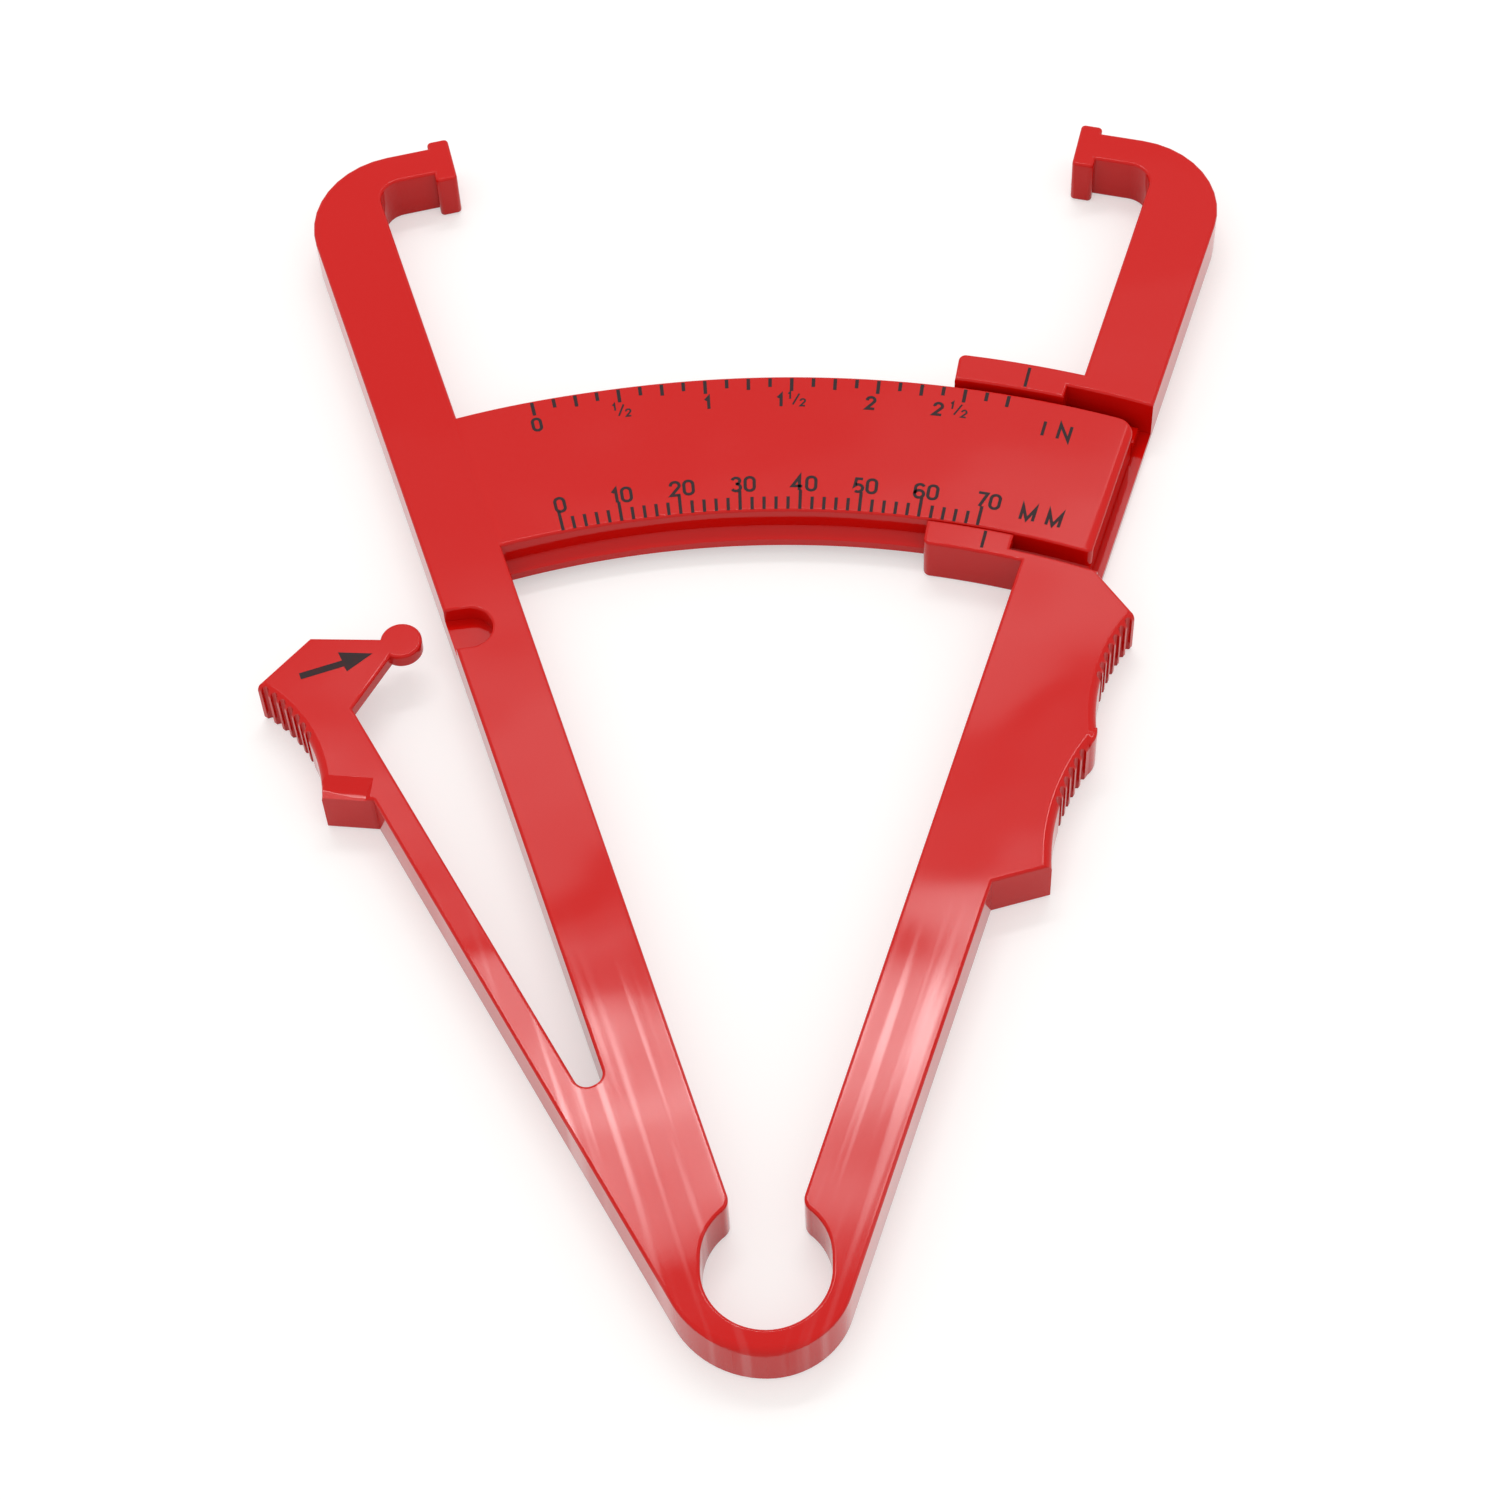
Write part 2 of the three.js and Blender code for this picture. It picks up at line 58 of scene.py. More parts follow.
# Moulding
TOP = 5.985
BOTTOM = 0.0
RIM = 0.3
RIM_STEPS = 4
RIM_LAND = 0.04
SHARP_ANGLE = 38

# Drawing: a gap too small to see, the distance at which points are welded, and the steps of
# small and wide arcs
FLUSH = 0.002
WELD = 0.0005
ARC_STEP = 5
WIDE_ARC_STEP = 0.8

# Cutting: how far a member runs on past its cut, and a cutter past the surface
CUT_BEYOND = 2.0
CUT_MARGIN = 1

# Arms: the lean of each straight edge, and its distance from the pivot on the pivot's level
INNER_ANGLE = 17.64
INNER_FOOT = -1.18
ARM_FOOT_WIDTH = 7.56
OUTER_ANGLE = 18.18
OUTER_FOOT = INNER_FOOT + ARM_FOOT_WIDTH

# Loop spring: its hole is two half circles, HOLE_STRETCH apart
HOLE_RADIUS = 6.2
HOLE_RISE = 7.7
HOLE_STRETCH = 1.3
HOLE_LOW = Vector((0, HOLE_RISE, 0))
HOLE_HIGH = Vector((0, HOLE_RISE + HOLE_STRETCH, 0))
LOOP_DROP = 1
LOOP_STRIPS = 12
NECK_ROUND = 1.6
NECK_STEP = 14
HOLE_PAST = 19
BOW_ROLL = 1.0
BOW_ROLL_RADIUS = 12.5

# Jaws: places along a line from the pivot that leans with the pad's face
PAD_ANGLE = 13.65
PAD_START = 148.2
PAD_LENGTH = 6.2
PAD_DEPTH = 2.45
PAD_ROUND = 0.5
BAR_SETBACK = 1.3
BAR_WIDTH = 3.95
HOOK_RUN = 10.2
HOOK_OUTER_ROUND = 10.15
HOOK_INNER_ROUND = 2.6
JAW_ROOT = PAD_START - HOOK_RUN

# Scale: radii, heights and angles about the pivot
SCALE_INNER = 96
SCALE_OUTER = 114.3
SCALE_FACE = 5.7
LEDGE_TOP = 3.1
LEDGE_WIDTH = 1.55
SCALE_BOTTOM = 1.4
SCALE_END_MARGIN = 1.25
SCALE_END_ROUND = 2
SCALE_FOOT_ROUND = 0.7
RAMP_START, RAMP_END, RAMP_STEPS = -17.4, -7.0, 16
LEDGE_FALL = 0.4
LEDGE_LEAD = 1
LEDGE_START, LEDGE_END = -18.5, 24
END_ROLL_RUN, END_ROLL_DROP, END_ROLL_STEPS = 1.0, 0.14, 4

# Channel and index tabs: each tab, and the room under both, lies between two radii
CHANNEL_FLOOR = 1.1
CHANNEL_INNER = 93.85
CHANNEL_OUTER = 116.7
TAB_START = 10.4
LOWER_TAB_END = 16
UPPER_TAB_END = 16.4
LOWER_TAB = (92.65, 95.75)
UPPER_TAB = (115.05, 118.7)
TAB_ROUND = 0.8
TAB_ROOM = (94.15, 116.15)
TAB_ROOM_TOP = 3.4
SWEEP_OVERRUN = 5

# Finger grip: lengths down the arm's outer edge from the grip's top, and heights out from it
GRIP_TOP = 91.4
GRIP_TOP_RUN = 4.1
GRIP_HEIGHT = 5.2
PEAK_SETBACK = 0.2
PEAK_BULGE = 0.35
UPPER_SCALLOP_LENGTH = 14.3
UPPER_SCALLOP_DEPTH = 1.25
GRIP_PEAK_LENGTH = 2.6
LOWER_SCALLOP_LENGTH = 15.0
LOWER_SCALLOP_DEPTH = 1.15
GRIP_HEEL_RUN = 3.5

# Ridged hollows: a soft shoulder, and round grooves that leave the ridges between them
SHOULDER = 0.95
WALL_SLACK = 0.01
GROOVE_RADIUS = 0.46
GROOVE_SIDES = 16
GROOVE_SET_OUT = -0.08
GROOVE_PITCH = 1.24
GROOVE_LEAD = 0.9
LOWER_GROOVE_LEAD = 1.1
UPPER_GROOVES = 7
LOWER_GROOVES = 6
THUMB_GROOVES = 7

# Thumb lever: places up its outer edge from the pivot's level, and heights out from it
LEVER_ANGLE = 28.96
LEVER_FOOT = 6.51
BEAM_WIDTH = 2.95
SLOT_END = 28.75
SLOT_ROUND = 1.3
SLOT_MARGIN = 0.3
BEAM_ROOT = 31
BEAM_TIP = 68.8
BEAM_STRIPS = 16
HEEL_RUN = 3.1
THUMB_SCALLOP_LENGTH = 15.6
THUMB_SCALLOP_DEPTH = 1.9
THUMB_PAD_HEIGHT = 4.45
THUMB_PAD_TOP_RUN = 2.7
SHELF_DROP = 0.45
SHELF_DEPTH = 1.1
SHELF_SLOPE = 1.5
SHELF_INSET = 0.9
SHELF_SIDE = 0.5
SHELF_CREASE = 0.06
HEAD_LENGTH = 10.2
HEAD_REACH = 6.3
HEAD_UNDERSIDE = 4.35
THUMB_PAD_HEEL = BEAM_TIP + HEEL_RUN
THUMB_PAD_CREST = THUMB_PAD_HEEL + THUMB_SCALLOP_LENGTH
HEAD_END = THUMB_PAD_CREST + THUMB_PAD_TOP_RUN
HEAD_ROOT = HEAD_END - HEAD_LENGTH
HEAD_TIP = -BEAM_WIDTH - HEAD_REACH
NECK_WIDTH = 2.5
NECK_SHIFT = 0.05
DISC_RADIUS = 2.2
LEVER_TURN = 41
PRESS_ANGLE = 9.2
POCKET_CLEARANCE = 0.25
POCKET_FLOOR = 4.0

# Print: a unit is its letters, their radius, angle, height and gap, and a number's or a half's
# angle is that of its middle
INK_DEPTH = 0.012
DEGREES_PER_MM = 0.3778
DEGREES_PER_EIGHTH = 1.1995
ZERO_ANGLE = -12.88
MM_TICKS, MM_PER_TICK, TICKS_PER_NUMBER = 36, 2, 5
MM_TICK_FOOT, MM_TICK_END, MM_LONG_TICK_END = 96.2, 97.85, 98.75
MM_TICK_WIDTH = 0.35
MM_NUMBER_ANGLES = (-12.70, -8.88, -5.11, -1.33, 2.44, 6.21, 9.99, 13.87)
MM_NUMBER_RADIUS, MM_NUMBER_HEIGHT, MM_NUMBER_GAP = 99.6, 1.8, 0.46
INCH_TICKS, INCH_TICK_HEAD, INCH_TICK_WIDTH = 23, 114.0, 0.39
HALF_TICK, QUARTER_TICK, EIGHTH_TICK = 1.8, 1.55, 1.2
INCH_NUMBERS = (("0", -12.88), ("1", -3.23), ("2", 6.0), ("1", 0.85), ("2", 9.8))
INCH_NUMBER_RADIUS, INCH_NUMBER_HEIGHT = 110.9, 1.6
NUMBER_STROKE = 0.35
HALF_ANGLES = (-8.07, 1.78, 10.9)
HALF_RADIUS, HALF_ASIDE, HALF_RAISED, HALF_LOWERED = 111.1, 0.75, 0.5, 0.45
HALF_FIGURE, HALF_SLASH, HALF_STROKE = 0.95, 1.5, 0.2
UNITS = (("MM", 98.9, 17.27, 1.7, 1.5), ("IN", 110.5, 16.60, 1.95, 1.6))
UNIT_STROKE = 0.34
INDEX_ANGLE, INDEX_WIDTH = 14.22, 0.34
INDEX_LINES = ((93.2, 95.45), (115.4, 118.1))
ARROW_TAIL = Vector((-48.34, 75.49, 0))
ARROW_NECK = Vector((-43.95, 77.02, 0))
ARROW_TIP = Vector((-40.92, 78.22, 0))
ARROW_BARBS = Vector((-44.56, 78.43, 0)), Vector((-43.47, 76.01, 0))
ARROW_HALF_WIDTH = 0.4

# Finishes: a scale counts a pattern's spots in a metre, edges say where the pattern starts and is
# full, and a share says how much of it shows
RED_LIGHT, RED_DEEP = (0.60, 0.0036, 0.0016, 1), (0.575, 0.0030, 0.0012, 1)
RED_SPECULAR = 0.25
PIGMENT_SCALE = 22.0
GLOSS = 0.07
HAZE_SCALE, HAZE_EDGES, HAZE_SHARE = 35.0, (0.45, 0.75), 0.03
FLOW_ACROSS, FLOW_ALONG, FLOW_APART = 760.0, 22.0, 3.0
FLOW_FADE, STREAK_EDGES = (0.034, 0.052), (0.5, 0.68)
STREAK_COAT, STREAK_COAT_ROUGHNESS = 0.5, 0.06
PEEL_SCALE, PEEL_SHARE = 900.0, 0.002
WAVE_SCALE, WAVE_SHARE = 55.0, 0.85
BUMP_STRENGTH, BUMP_DISTANCE = 0.3, 0.001
INK_DARK, INK_THIN = (0.018, 0.004, 0.006, 1), (0.10, 0.006, 0.008, 1)
INK_SPECULAR = 0.25
INK_ROUGHNESS, THIN_ROUGHNESS, THIN_SHARE = 0.5, 0.1, 0.4
THIN_SCALE, THIN_EDGES = 700.0, (0.5, 0.8)
TABLE_GREY, TABLE_GLOW = (0.6, 0.6, 0.6, 1), 0.45

# Table and sky, in metres
TABLE_SIZE, TABLE_LEVEL = 6.0, -0.00003
SKY_COLOUR, SKY_STRENGTH = (1, 0.985, 0.95, 1), 0.89
WHITE = (1, 1, 1, 1)

# Soft boxes: the distance is in metres. Each has a name, the two heights on the middle line
# between which its reflection lies in the top face, and a strength. A slope says how much the
# reflection rises to the right, and a reach how far it goes to each side.
LAMP_DISTANCE = 1.0
LAMP_REACH = 75
WINDOW_SLOPE = 0.25
WINDOW = (("window_head", 8, 14, 3.4), ("window_high", 14, 20, 5.7),
          ("window_middle", 20, 27, 8.3), ("window_low", 27, 35, 13.0),
          ("window_foot", 35, 41, 7.5))
LEVER_GLINT = ("lever_glint", 41, 48, 7.0)
GLINT_LEFT, GLINT_RIGHT = -36, -21
WALL_SLOPE = 0.41
WALL = (("sill", 46, 51, 1.1), ("wall_high", 60, 70, 2.1), ("wall_middle", 70, 80, 2.6),
        ("wall_low", 80, 90, 1.5), ("wall_foot", 90, 105, 0.6), ("wall_end", 105, 125, 0.22))

# Camera
CAMERA_PLACE = Vector((9.873, -211.519, 316.98)) * MILLIMETRE
CAMERA_TARGET = Vector((-0.867, -5.209, 0)) * MILLIMETRE
CAMERA_ROLL = -3.5248
FOCAL_PIXELS = 3638
PHOTO_WIDTH = 1500
SENSOR = 36
CLIP_START = 0.01


# Plan geometry

def edge_frame(side, foot, angle):
    """A straight edge, as a function: along runs up it, out runs away from the middle line."""
    sine, cosine = sin(radians(angle)), cos(radians(angle))

    def at(along, out=0.0):
        across = side * (foot + along * sine + out * cosine)
        return Vector((across, along * cosine - out * sine, 0))
    return at


def inner_edge(side):
    return edge_frame(side, INNER_FOOT, INNER_ANGLE)


def outer_edge(side):
    return edge_frame(side, OUTER_FOOT, OUTER_ANGLE)


lever_edge = edge_frame(LEFT, LEVER_FOOT, LEVER_ANGLE)


def polar(radius, angle):
    """The point at a radius and an angle about the pivot."""
    return Vector((radius * sin(radians(angle)), radius * cos(radians(angle)), 0))


def angle_of(point):
    """The angle of a point about the pivot."""
    return degrees(atan2(point.x, point.y))


def crossing(a, b, c, d):
    """Where the line through a and b meets the line through c and d."""
    ab, cd = b - a, d - c
    return a + ab * ((c - a).cross(cd).z / ab.cross(cd).z)


def at_height(edge, height):
    """The point of an edge at a height above the pivot's level."""
    level = Vector((0, height, 0))
    return crossing(edge(0), edge(1), level, level + Vector((1, 0, 0)))


def at_radius(edge, radius):
    """The point of an edge at a radius from the pivot."""
    foot = edge(0)
    direction = (edge(1) - foot).normalized()
    middle = -foot.dot(direction)
    reach = sqrt(radius ** 2 - foot.cross(direction).z ** 2)
    return edge(middle + reach)


class Pen:
    """Draws the closed outline of a plate from straight lines, arcs and rounded corners."""

    def __init__(self, start):
        self.shape = bmesh.new()
        self.first = self.last = self.shape.verts.new(start)

    def line(self, *points):
        for point in points:
            vert = self.shape.verts.new(point)
            self.shape.edges.new((self.last, vert))
            self.last = vert

    def swing(self, centre, turn, step=ARC_STEP):
        """An arc round a centre from the last point, with a turn to the left counted positive."""
        arc = bmesh.ops.spin(
            self.shape, geom=[self.last], cent=centre, axis=UP, angle=radians(turn),
            steps=max(2, ceil(abs(turn) / step)))
        self.last = arc["geom_last"][0]

    def swing_to(self, end, centre, step=ARC_STEP):
        start, end = self.last.co - centre, end - centre
        self.swing(centre, degrees(atan2(start.cross(end).z, start.dot(end))), step)

    def ring(self, angle):
        """An arc about the pivot, to an angle."""
        self.swing(PIVOT, angle_of(self.last.co) - angle, WIDE_ARC_STEP)

    def corner(self, corner, after, radius):
        """A line up to a corner, and a round there that turns toward the point after it."""
        back = (self.last.co - corner).normalized()
        ahead = (after - corner).normalized()
        half = acos(back.dot(ahead)) / 2
        centre = corner + (back + ahead).normalized() * radius / sin(half)
        self.line(corner + back * radius / tan(half))
        self.swing_to(corner + ahead * radius / tan(half), centre, ARC_STEP * 2)

    def face(self):
        """Closes the outline and fills it."""
        self.shape.edges.new((self.last, self.first))
        bmesh.ops.remove_doubles(self.shape, verts=self.shape.verts[:], dist=FLUSH)
        return bmesh.ops.contextual_create(self.shape, geom=self.shape.edges[:])["faces"][0]


# Solids

def slab(pen, bottom, top):
    """The drawn outline raised to a slab, with its two flat ends."""
    base, shape = pen.face(), pen.shape
    raised = bmesh.ops.extrude_face_region(shape, geom=[base])["geom"]
    lid = next(item for item in raised if isinstance(item, bmesh.types.BMFace))
    for face, height in ((base, bottom), (lid, top)):
        bmesh.ops.translate(shape, verts=face.verts[:], vec=UP * height)
    bmesh.ops.recalc_face_normals(shape, faces=shape.faces[:])
    return shape, base, lid


def roll_rim(shape, face, radius):
    """Rounds the edge of a flat end in even steps of a quarter circle, inward with a narrow flat
    land, or outward where the radius is negative."""
    for step in range(RIM_STEPS):
        before, after = (radians(90 * part / RIM_STEPS) for part in (step, step + 1))
        bmesh.ops.inset_region(
            shape, faces=[face], use_even_offset=True, use_boundary=True,
            thickness=radius * (cos(before) - cos(after)),
            depth=abs(radius) * (sin(after) - sin(before)))
    if radius > 0:
        bmesh.ops.inset_region(
            shape, faces=[face], use_even_offset=True, use_boundary=True, thickness=RIM_LAND)


def plate(pen, bottom, top, rim=RIM, foot_rim=RIM):
    """A plate of the drawn outline with rounded rims."""
    shape, base, lid = slab(pen, bottom + foot_rim, top - rim)
    for face, radius in ((base, foot_rim), (lid, rim)):
        if radius:
            roll_rim(shape, face, radius)
    return shape


def level_top(shape):
    """Makes a flat top exact, so that another flat top joins it without a seam."""
    for vert in shape.verts:
        if abs(vert.co.z - TOP) < FLUSH:
            vert.co.z = TOP
    return shape


def cutter(pen, bottom, top, lip=RIM):
    """A plate to cut away with, flared so that the edge it leaves at the top is rounded."""
    shape, _, lid = slab(pen, bottom, top - lip)
    roll_rim(shape, lid, -lip)
    bmesh.ops.inset_region(
        shape, faces=[lid], thickness=0, depth=CUT_MARGIN, use_even_offset=True)
    return shape


def as_object(shape, name):
    """An object of a shape, in the scene; the shape is spent."""
    mesh = bpy.data.meshes.new(name)
    shape.to_mesh(mesh)
    shape.free()
    piece = bpy.data.objects.new(name, mesh)
    bpy.context.scene.collection.objects.link(piece)
    return piece


def finished(piece):
    """The mesh of an object with its modifiers applied, as a bmesh; the object is removed."""
    bpy.context.view_layer.update()
    shape = bmesh.new()
    shape.from_object(piece, bpy.context.evaluated_depsgraph_get())
    bpy.data.meshes.remove(piece.data)
    return shape


def boolean(shape, tool, operation):
    """Joins or cuts a shape with another, and welds the slivers that the crossing leaves."""
    piece, other = as_object(shape, "work"), as_object(tool, "tool")
    modifier = piece.modifiers.new("join", "BOOLEAN")
    modifier.operation, modifier.solver, modifier.object = operation, "EXACT", other
    result = finished(piece)
    bpy.data.meshes.remove(other.data)
    bmesh.ops.remove_doubles(result, verts=result.verts[:], dist=WELD)
    bmesh.ops.dissolve_degenerate(result, edges=result.edges[:], dist=WELD)
    return result


def cut(shape, tool):
    return boolean(shape, tool, "DIFFERENCE")


def add(shape, tool):
    return boolean(shape, tool, "UNION")


def trim(shape, point, normal):
    """Cuts off what lies past a plane and closes the cut."""
    geometry = shape.verts[:] + shape.edges[:] + shape.faces[:]
    bmesh.ops.bisect_plane(
        shape, geom=geometry, plane_co=point, plane_no=normal, clear_outer=True)
    rim = [edge for edge in shape.edges if edge.is_boundary]
    bmesh.ops.holes_fill(shape, edges=rim, sides=0)


def slice_at(shape, points, normal):
    """Crosses a piece with edges, where it bends or is pushed out of its plane."""
    for point in points:
        geometry = shape.verts[:] + shape.edges[:] + shape.faces[:]
        bmesh.ops.bisect_plane(shape, geom=geometry, plane_co=point, plane_no=normal)


def merge(shapes):
    """One shape of several that lie as they are."""
    whole = bmesh.new()
    for shape in shapes:
        mesh = bpy.data.meshes.new("part")
        shape.to_mesh(mesh)
        shape.free()
        whole.from_mesh(mesh)
        bpy.data.meshes.remove(mesh)
    return whole


def box_from(corners, bottom, top):
    """A plain straight-sided block over the given corners."""
    pen = Pen(corners[0])
    pen.line(*corners[1:])
    return plate(pen, bottom, top, rim=0, foot_rim=0)


def settle(shape, name, finish, body=None):
    """Sets a shape down in the model's frame in metres, with its finish."""
    place = Matrix.Scale(MILLIMETRE, 4) @ Matrix.Translation(PIVOT_IN_MODEL)
    bmesh.ops.transform(shape, matrix=place, verts=shape.verts[:])
    for face in shape.faces:
        face.smooth = True
    piece = as_object(shape, name)
    piece.data.set_sharp_from_angle(angle=radians(SHARP_ANGLE))
    weigh = piece.modifiers.new("even flats", "WEIGHTED_NORMAL")
    weigh.keep_sharp = True
    bpy.context.view_layer.update()
    view = piece.evaluated_get(bpy.context.evaluated_depsgraph_get())
    drawn, piece.data = piece.data, bpy.data.meshes.new_from_object(view)
    piece.modifiers.clear()
    bpy.data.meshes.remove(drawn)
    piece.data.name = name
    piece.data.materials.append(finish)
    if body:
        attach(piece, body)
    return piece


# Finishes

class Socket:
    """A value in a finish, on which Python's operators add Math nodes."""

    def __init__(self, finish, output):
        self.finish, self.output = finish, output

    def maths(self, operation, *values):
        return self.finish.node("Math", {"operation": operation}, dict(enumerate(values)))

    def __add__(self, other):
        return self.maths("ADD", self, other)

    def __mul__(self, other):
        return self.maths("MULTIPLY", self, other)

    def __sub__(self, other):
        return self.maths("SUBTRACT", self, other)

    def __rsub__(self, other):
        return self.maths("SUBTRACT", other, self)

    __radd__, __rmul__ = __add__, __mul__


class Finish:
    """A new material made of nodes, or the nodes of a tree that is there already."""

    def __init__(self, name, tree=None):
        if tree is None:
            self.material = bpy.data.materials.new(name)
            self.material.use_nodes = True
            tree = self.material.node_tree
        self.tree = tree
        self.tree.nodes.clear()

    def node(self, kind, settings=None, inputs=None, output=0):
        """Adds a node, sets it up, feeds its sockets and gives one of its outputs."""
        node = self.tree.nodes.new("ShaderNode" + kind)
        for name, value in (settings or {}).items():
            setattr(node, name, value)
        for name, value in (inputs or {}).items():
            if isinstance(value, Socket):
                self.tree.links.new(value.output, node.inputs[name])
            else:
                node.inputs[name].default_value = value
        return Socket(self, node.outputs[output]) if node.outputs else None

    def ramp(self, value, low, high):
        """A smooth rise from 0 at low to 1 at high."""
        return self.node("MapRange", {"interpolation_type": "SMOOTHSTEP"},
                         {0: value, 1: low, 2: high})

    def noise(self, where, scale, detail):
        """An even random pattern between 0 and 1."""
        return self.node("TexNoise", None, {"Vector": where, "Scale": scale, "Detail": detail})

    def mix(self, share, first, second):
        """A colour between two colours."""
        return self.node("Mix", {"data_type": "RGBA"}, {0: share, 6: first, 7: second}, output=2)


def moulded_red():
    """Glossy red plastic: a faint peel, flow marks that run from the loop, hazy handled spots."""
    finish = Finish("moulded_red")
    lean = radians((INNER_ANGLE + OUTER_ANGLE) / 2)
    place = finish.node("TexCoord", None, None, "Object")
    about_pivot = finish.node("Mapping", None, {
        "Vector": place, "Location": -PIVOT_IN_MODEL * MILLIMETRE})
    across = finish.node("SeparateXYZ", None, {0: about_pivot}, "X")
    along = finish.node("SeparateXYZ", None, {0: about_pivot}, "Y")
    in_arm = across.maths("ABSOLUTE", across) * cos(lean) - along * sin(lean)
    side = across.maths("GREATER_THAN", across, 0.0)
    flow = finish.node("CombineXYZ", None, {
        0: in_arm * FLOW_ACROSS, 1: along * FLOW_ALONG, 2: side * FLOW_APART})
    near_loop = 1 - finish.ramp(along, *FLOW_FADE)
    streaks = finish.ramp(finish.noise(flow, scale=1, detail=1), *STREAK_EDGES) * near_loop
    peel = finish.noise(place, PEEL_SCALE, detail=1)
    waves = finish.noise(place, WAVE_SCALE, detail=1)
    haze = finish.ramp(finish.noise(place, HAZE_SCALE, detail=3), *HAZE_EDGES)
    pigment = finish.noise(place, PIGMENT_SCALE, detail=2)
    bump = finish.node("Bump", None, {
        "Strength": BUMP_STRENGTH, "Distance": BUMP_DISTANCE,
        "Height": peel * PEEL_SHARE + waves * WAVE_SHARE})
    surface = finish.node("BsdfPrincipled", None, {
        "Base Color": finish.mix(pigment, RED_LIGHT, RED_DEEP),
        "Roughness": GLOSS + haze * HAZE_SHARE, "Specular IOR Level": RED_SPECULAR,
        "Coat Weight": streaks * STREAK_COAT, "Coat Roughness": STREAK_COAT_ROUGHNESS,
        "Normal": bump})
    finish.node("OutputMaterial", None, {"Surface": surface})
    return finish.material


def printed_ink():
    """Dark ink that lets a little of the red through, uneven where it is thin."""
    finish = Finish("printed_ink")
    place = finish.node("TexCoord", None, None, "Object")
    thin = finish.ramp(finish.noise(place, THIN_SCALE, detail=3), *THIN_EDGES)
    surface = finish.node("BsdfPrincipled", None, {
        "Base Color": finish.mix(thin * THIN_SHARE, INK_DARK, INK_THIN),
        "Roughness": INK_ROUGHNESS + thin * THIN_ROUGHNESS, "Specular IOR Level": INK_SPECULAR})
    finish.node("OutputMaterial", None, {"Surface": surface})
    return finish.material


def seen_rays(finish):
    """One for the rays that the camera, gloss or glass sends out, else nothing."""
    seen, gloss, glass = (finish.node("LightPath", None, None, output) for output in (
        "Is Camera Ray", "Is Glossy Ray", "Is Transmission Ray"))
    return seen + gloss + glass


def white_table():
    """A pale table that the camera, gloss and glass see as white, with the caliper's shadow."""
    finish = Finish("white_table")
    diffuse = finish.node("BsdfDiffuse", None, {"Color": TABLE_GREY})
    glow = finish.node("Emission", None, {"Strength": seen_rays(finish) * TABLE_GLOW})
    surface = finish.node("AddShader", None, {0: diffuse, 1: glow})
    finish.node("OutputMaterial", None, {"Surface": surface})
    return finish.material


RED = moulded_red()
INK = printed_ink()


# Members of the moulding

def draw_jaw(pen, side):
    """From the outer edge round the hook and the pad to the inner edge."""
    outer, inner = outer_edge(side), inner_edge(side)
    pad = edge_frame(side, 0, PAD_ANGLE)
    bar_inner = PAD_START + BAR_SETBACK
    bar_outer = bar_inner + BAR_WIDTH
    pad_end = PAD_START + PAD_LENGTH
    root = crossing(inner(JAW_ROOT), inner(JAW_ROOT, 1), outer(0), outer(JAW_ROOT))
    pen.line(root)
    bend = crossing(pad(bar_outer), pad(bar_outer, 1), outer(0), outer(1))
    pen.corner(bend, pad(bar_outer, PAD_DEPTH), HOOK_OUTER_ROUND)
    pen.line(pad(bar_outer, PAD_DEPTH))
    pen.corner(pad(pad_end, PAD_DEPTH), pad(pad_end), PAD_ROUND)
    pen.corner(pad(pad_end), pad(PAD_START), PAD_ROUND)
    pen.corner(pad(PAD_START), pad(PAD_START, PAD_DEPTH), PAD_ROUND)
    pen.corner(pad(PAD_START, PAD_DEPTH), pad(bar_inner, PAD_DEPTH), PAD_ROUND)
    pen.line(pad(bar_inner, PAD_DEPTH))
    bend = crossing(pad(bar_inner), pad(bar_inner, 1), inner(0), inner(1))
    pen.corner(bend, inner(JAW_ROOT), HOOK_INNER_ROUND)


def draw_neck(pen, side):
    """The corner between an arm's inner edge and the loop hole, and the hole's wall."""
    inner = inner_edge(side)
    foot = inner(0) - HOLE_HIGH
    direction = (inner(1) - inner(0)).normalized()
    along = -foot.dot(direction) + sqrt(HOLE_RADIUS ** 2 - foot.cross(direction).z ** 2)
    corner = inner(along)
    start = degrees(asin(abs(corner.x) / HOLE_RADIUS))
    first = start + (90 - start) / ceil((90 - start) / NECK_STEP)
    wall = HOLE_HIGH + polar(HOLE_RADIUS, side * first)
    pen.corner(corner, wall, NECK_ROUND)
    pen.line(wall)
    pen.swing_to(HOLE_HIGH + polar(HOLE_RADIUS, side * 90), HOLE_HIGH)
    pen.line(HOLE_LOW + polar(HOLE_RADIUS, side * 90))
    pen.swing(HOLE_LOW, -side * HOLE_PAST)


def pocket_cutter():
    """The pocket in the left arm, open along the way that the lever's disc comes in."""
    hinge = lever_edge(LEVER_TURN, -BEAM_WIDTH / 2)
    press = Matrix.Rotation(-radians(PRESS_ANGLE), 3, "Z")
    middle = hinge + press @ (disc_centre() - hinge)
    travel = (middle - hinge).cross(UP).normalized()
    radius = DISC_RADIUS + POCKET_CLEARANCE
    mouth = travel * -(radius * 2 + CUT_MARGIN)
    side = travel.cross(UP) * radius
    pen = Pen(middle + side + mouth)
    pen.line(middle + side)
    pen.swing(middle, 180)
    pen.line(middle - side + mouth)
    return cutter(pen, POCKET_FLOOR, TOP)


def face_height(angle):
    """The scale's face: level with the arm at its root, then easing down to its own height."""
    share = min(max((angle - RAMP_START) / (RAMP_END - RAMP_START), 0), 1)
    return TOP - (TOP - SCALE_FACE) * share * share * (3 - 2 * share)


def scale_end(along, out=0.0):
    """The line of the scale's free end, a little inside the right arm's outer edge."""
    return outer_edge(RIGHT)(along, -SCALE_END_MARGIN + out)


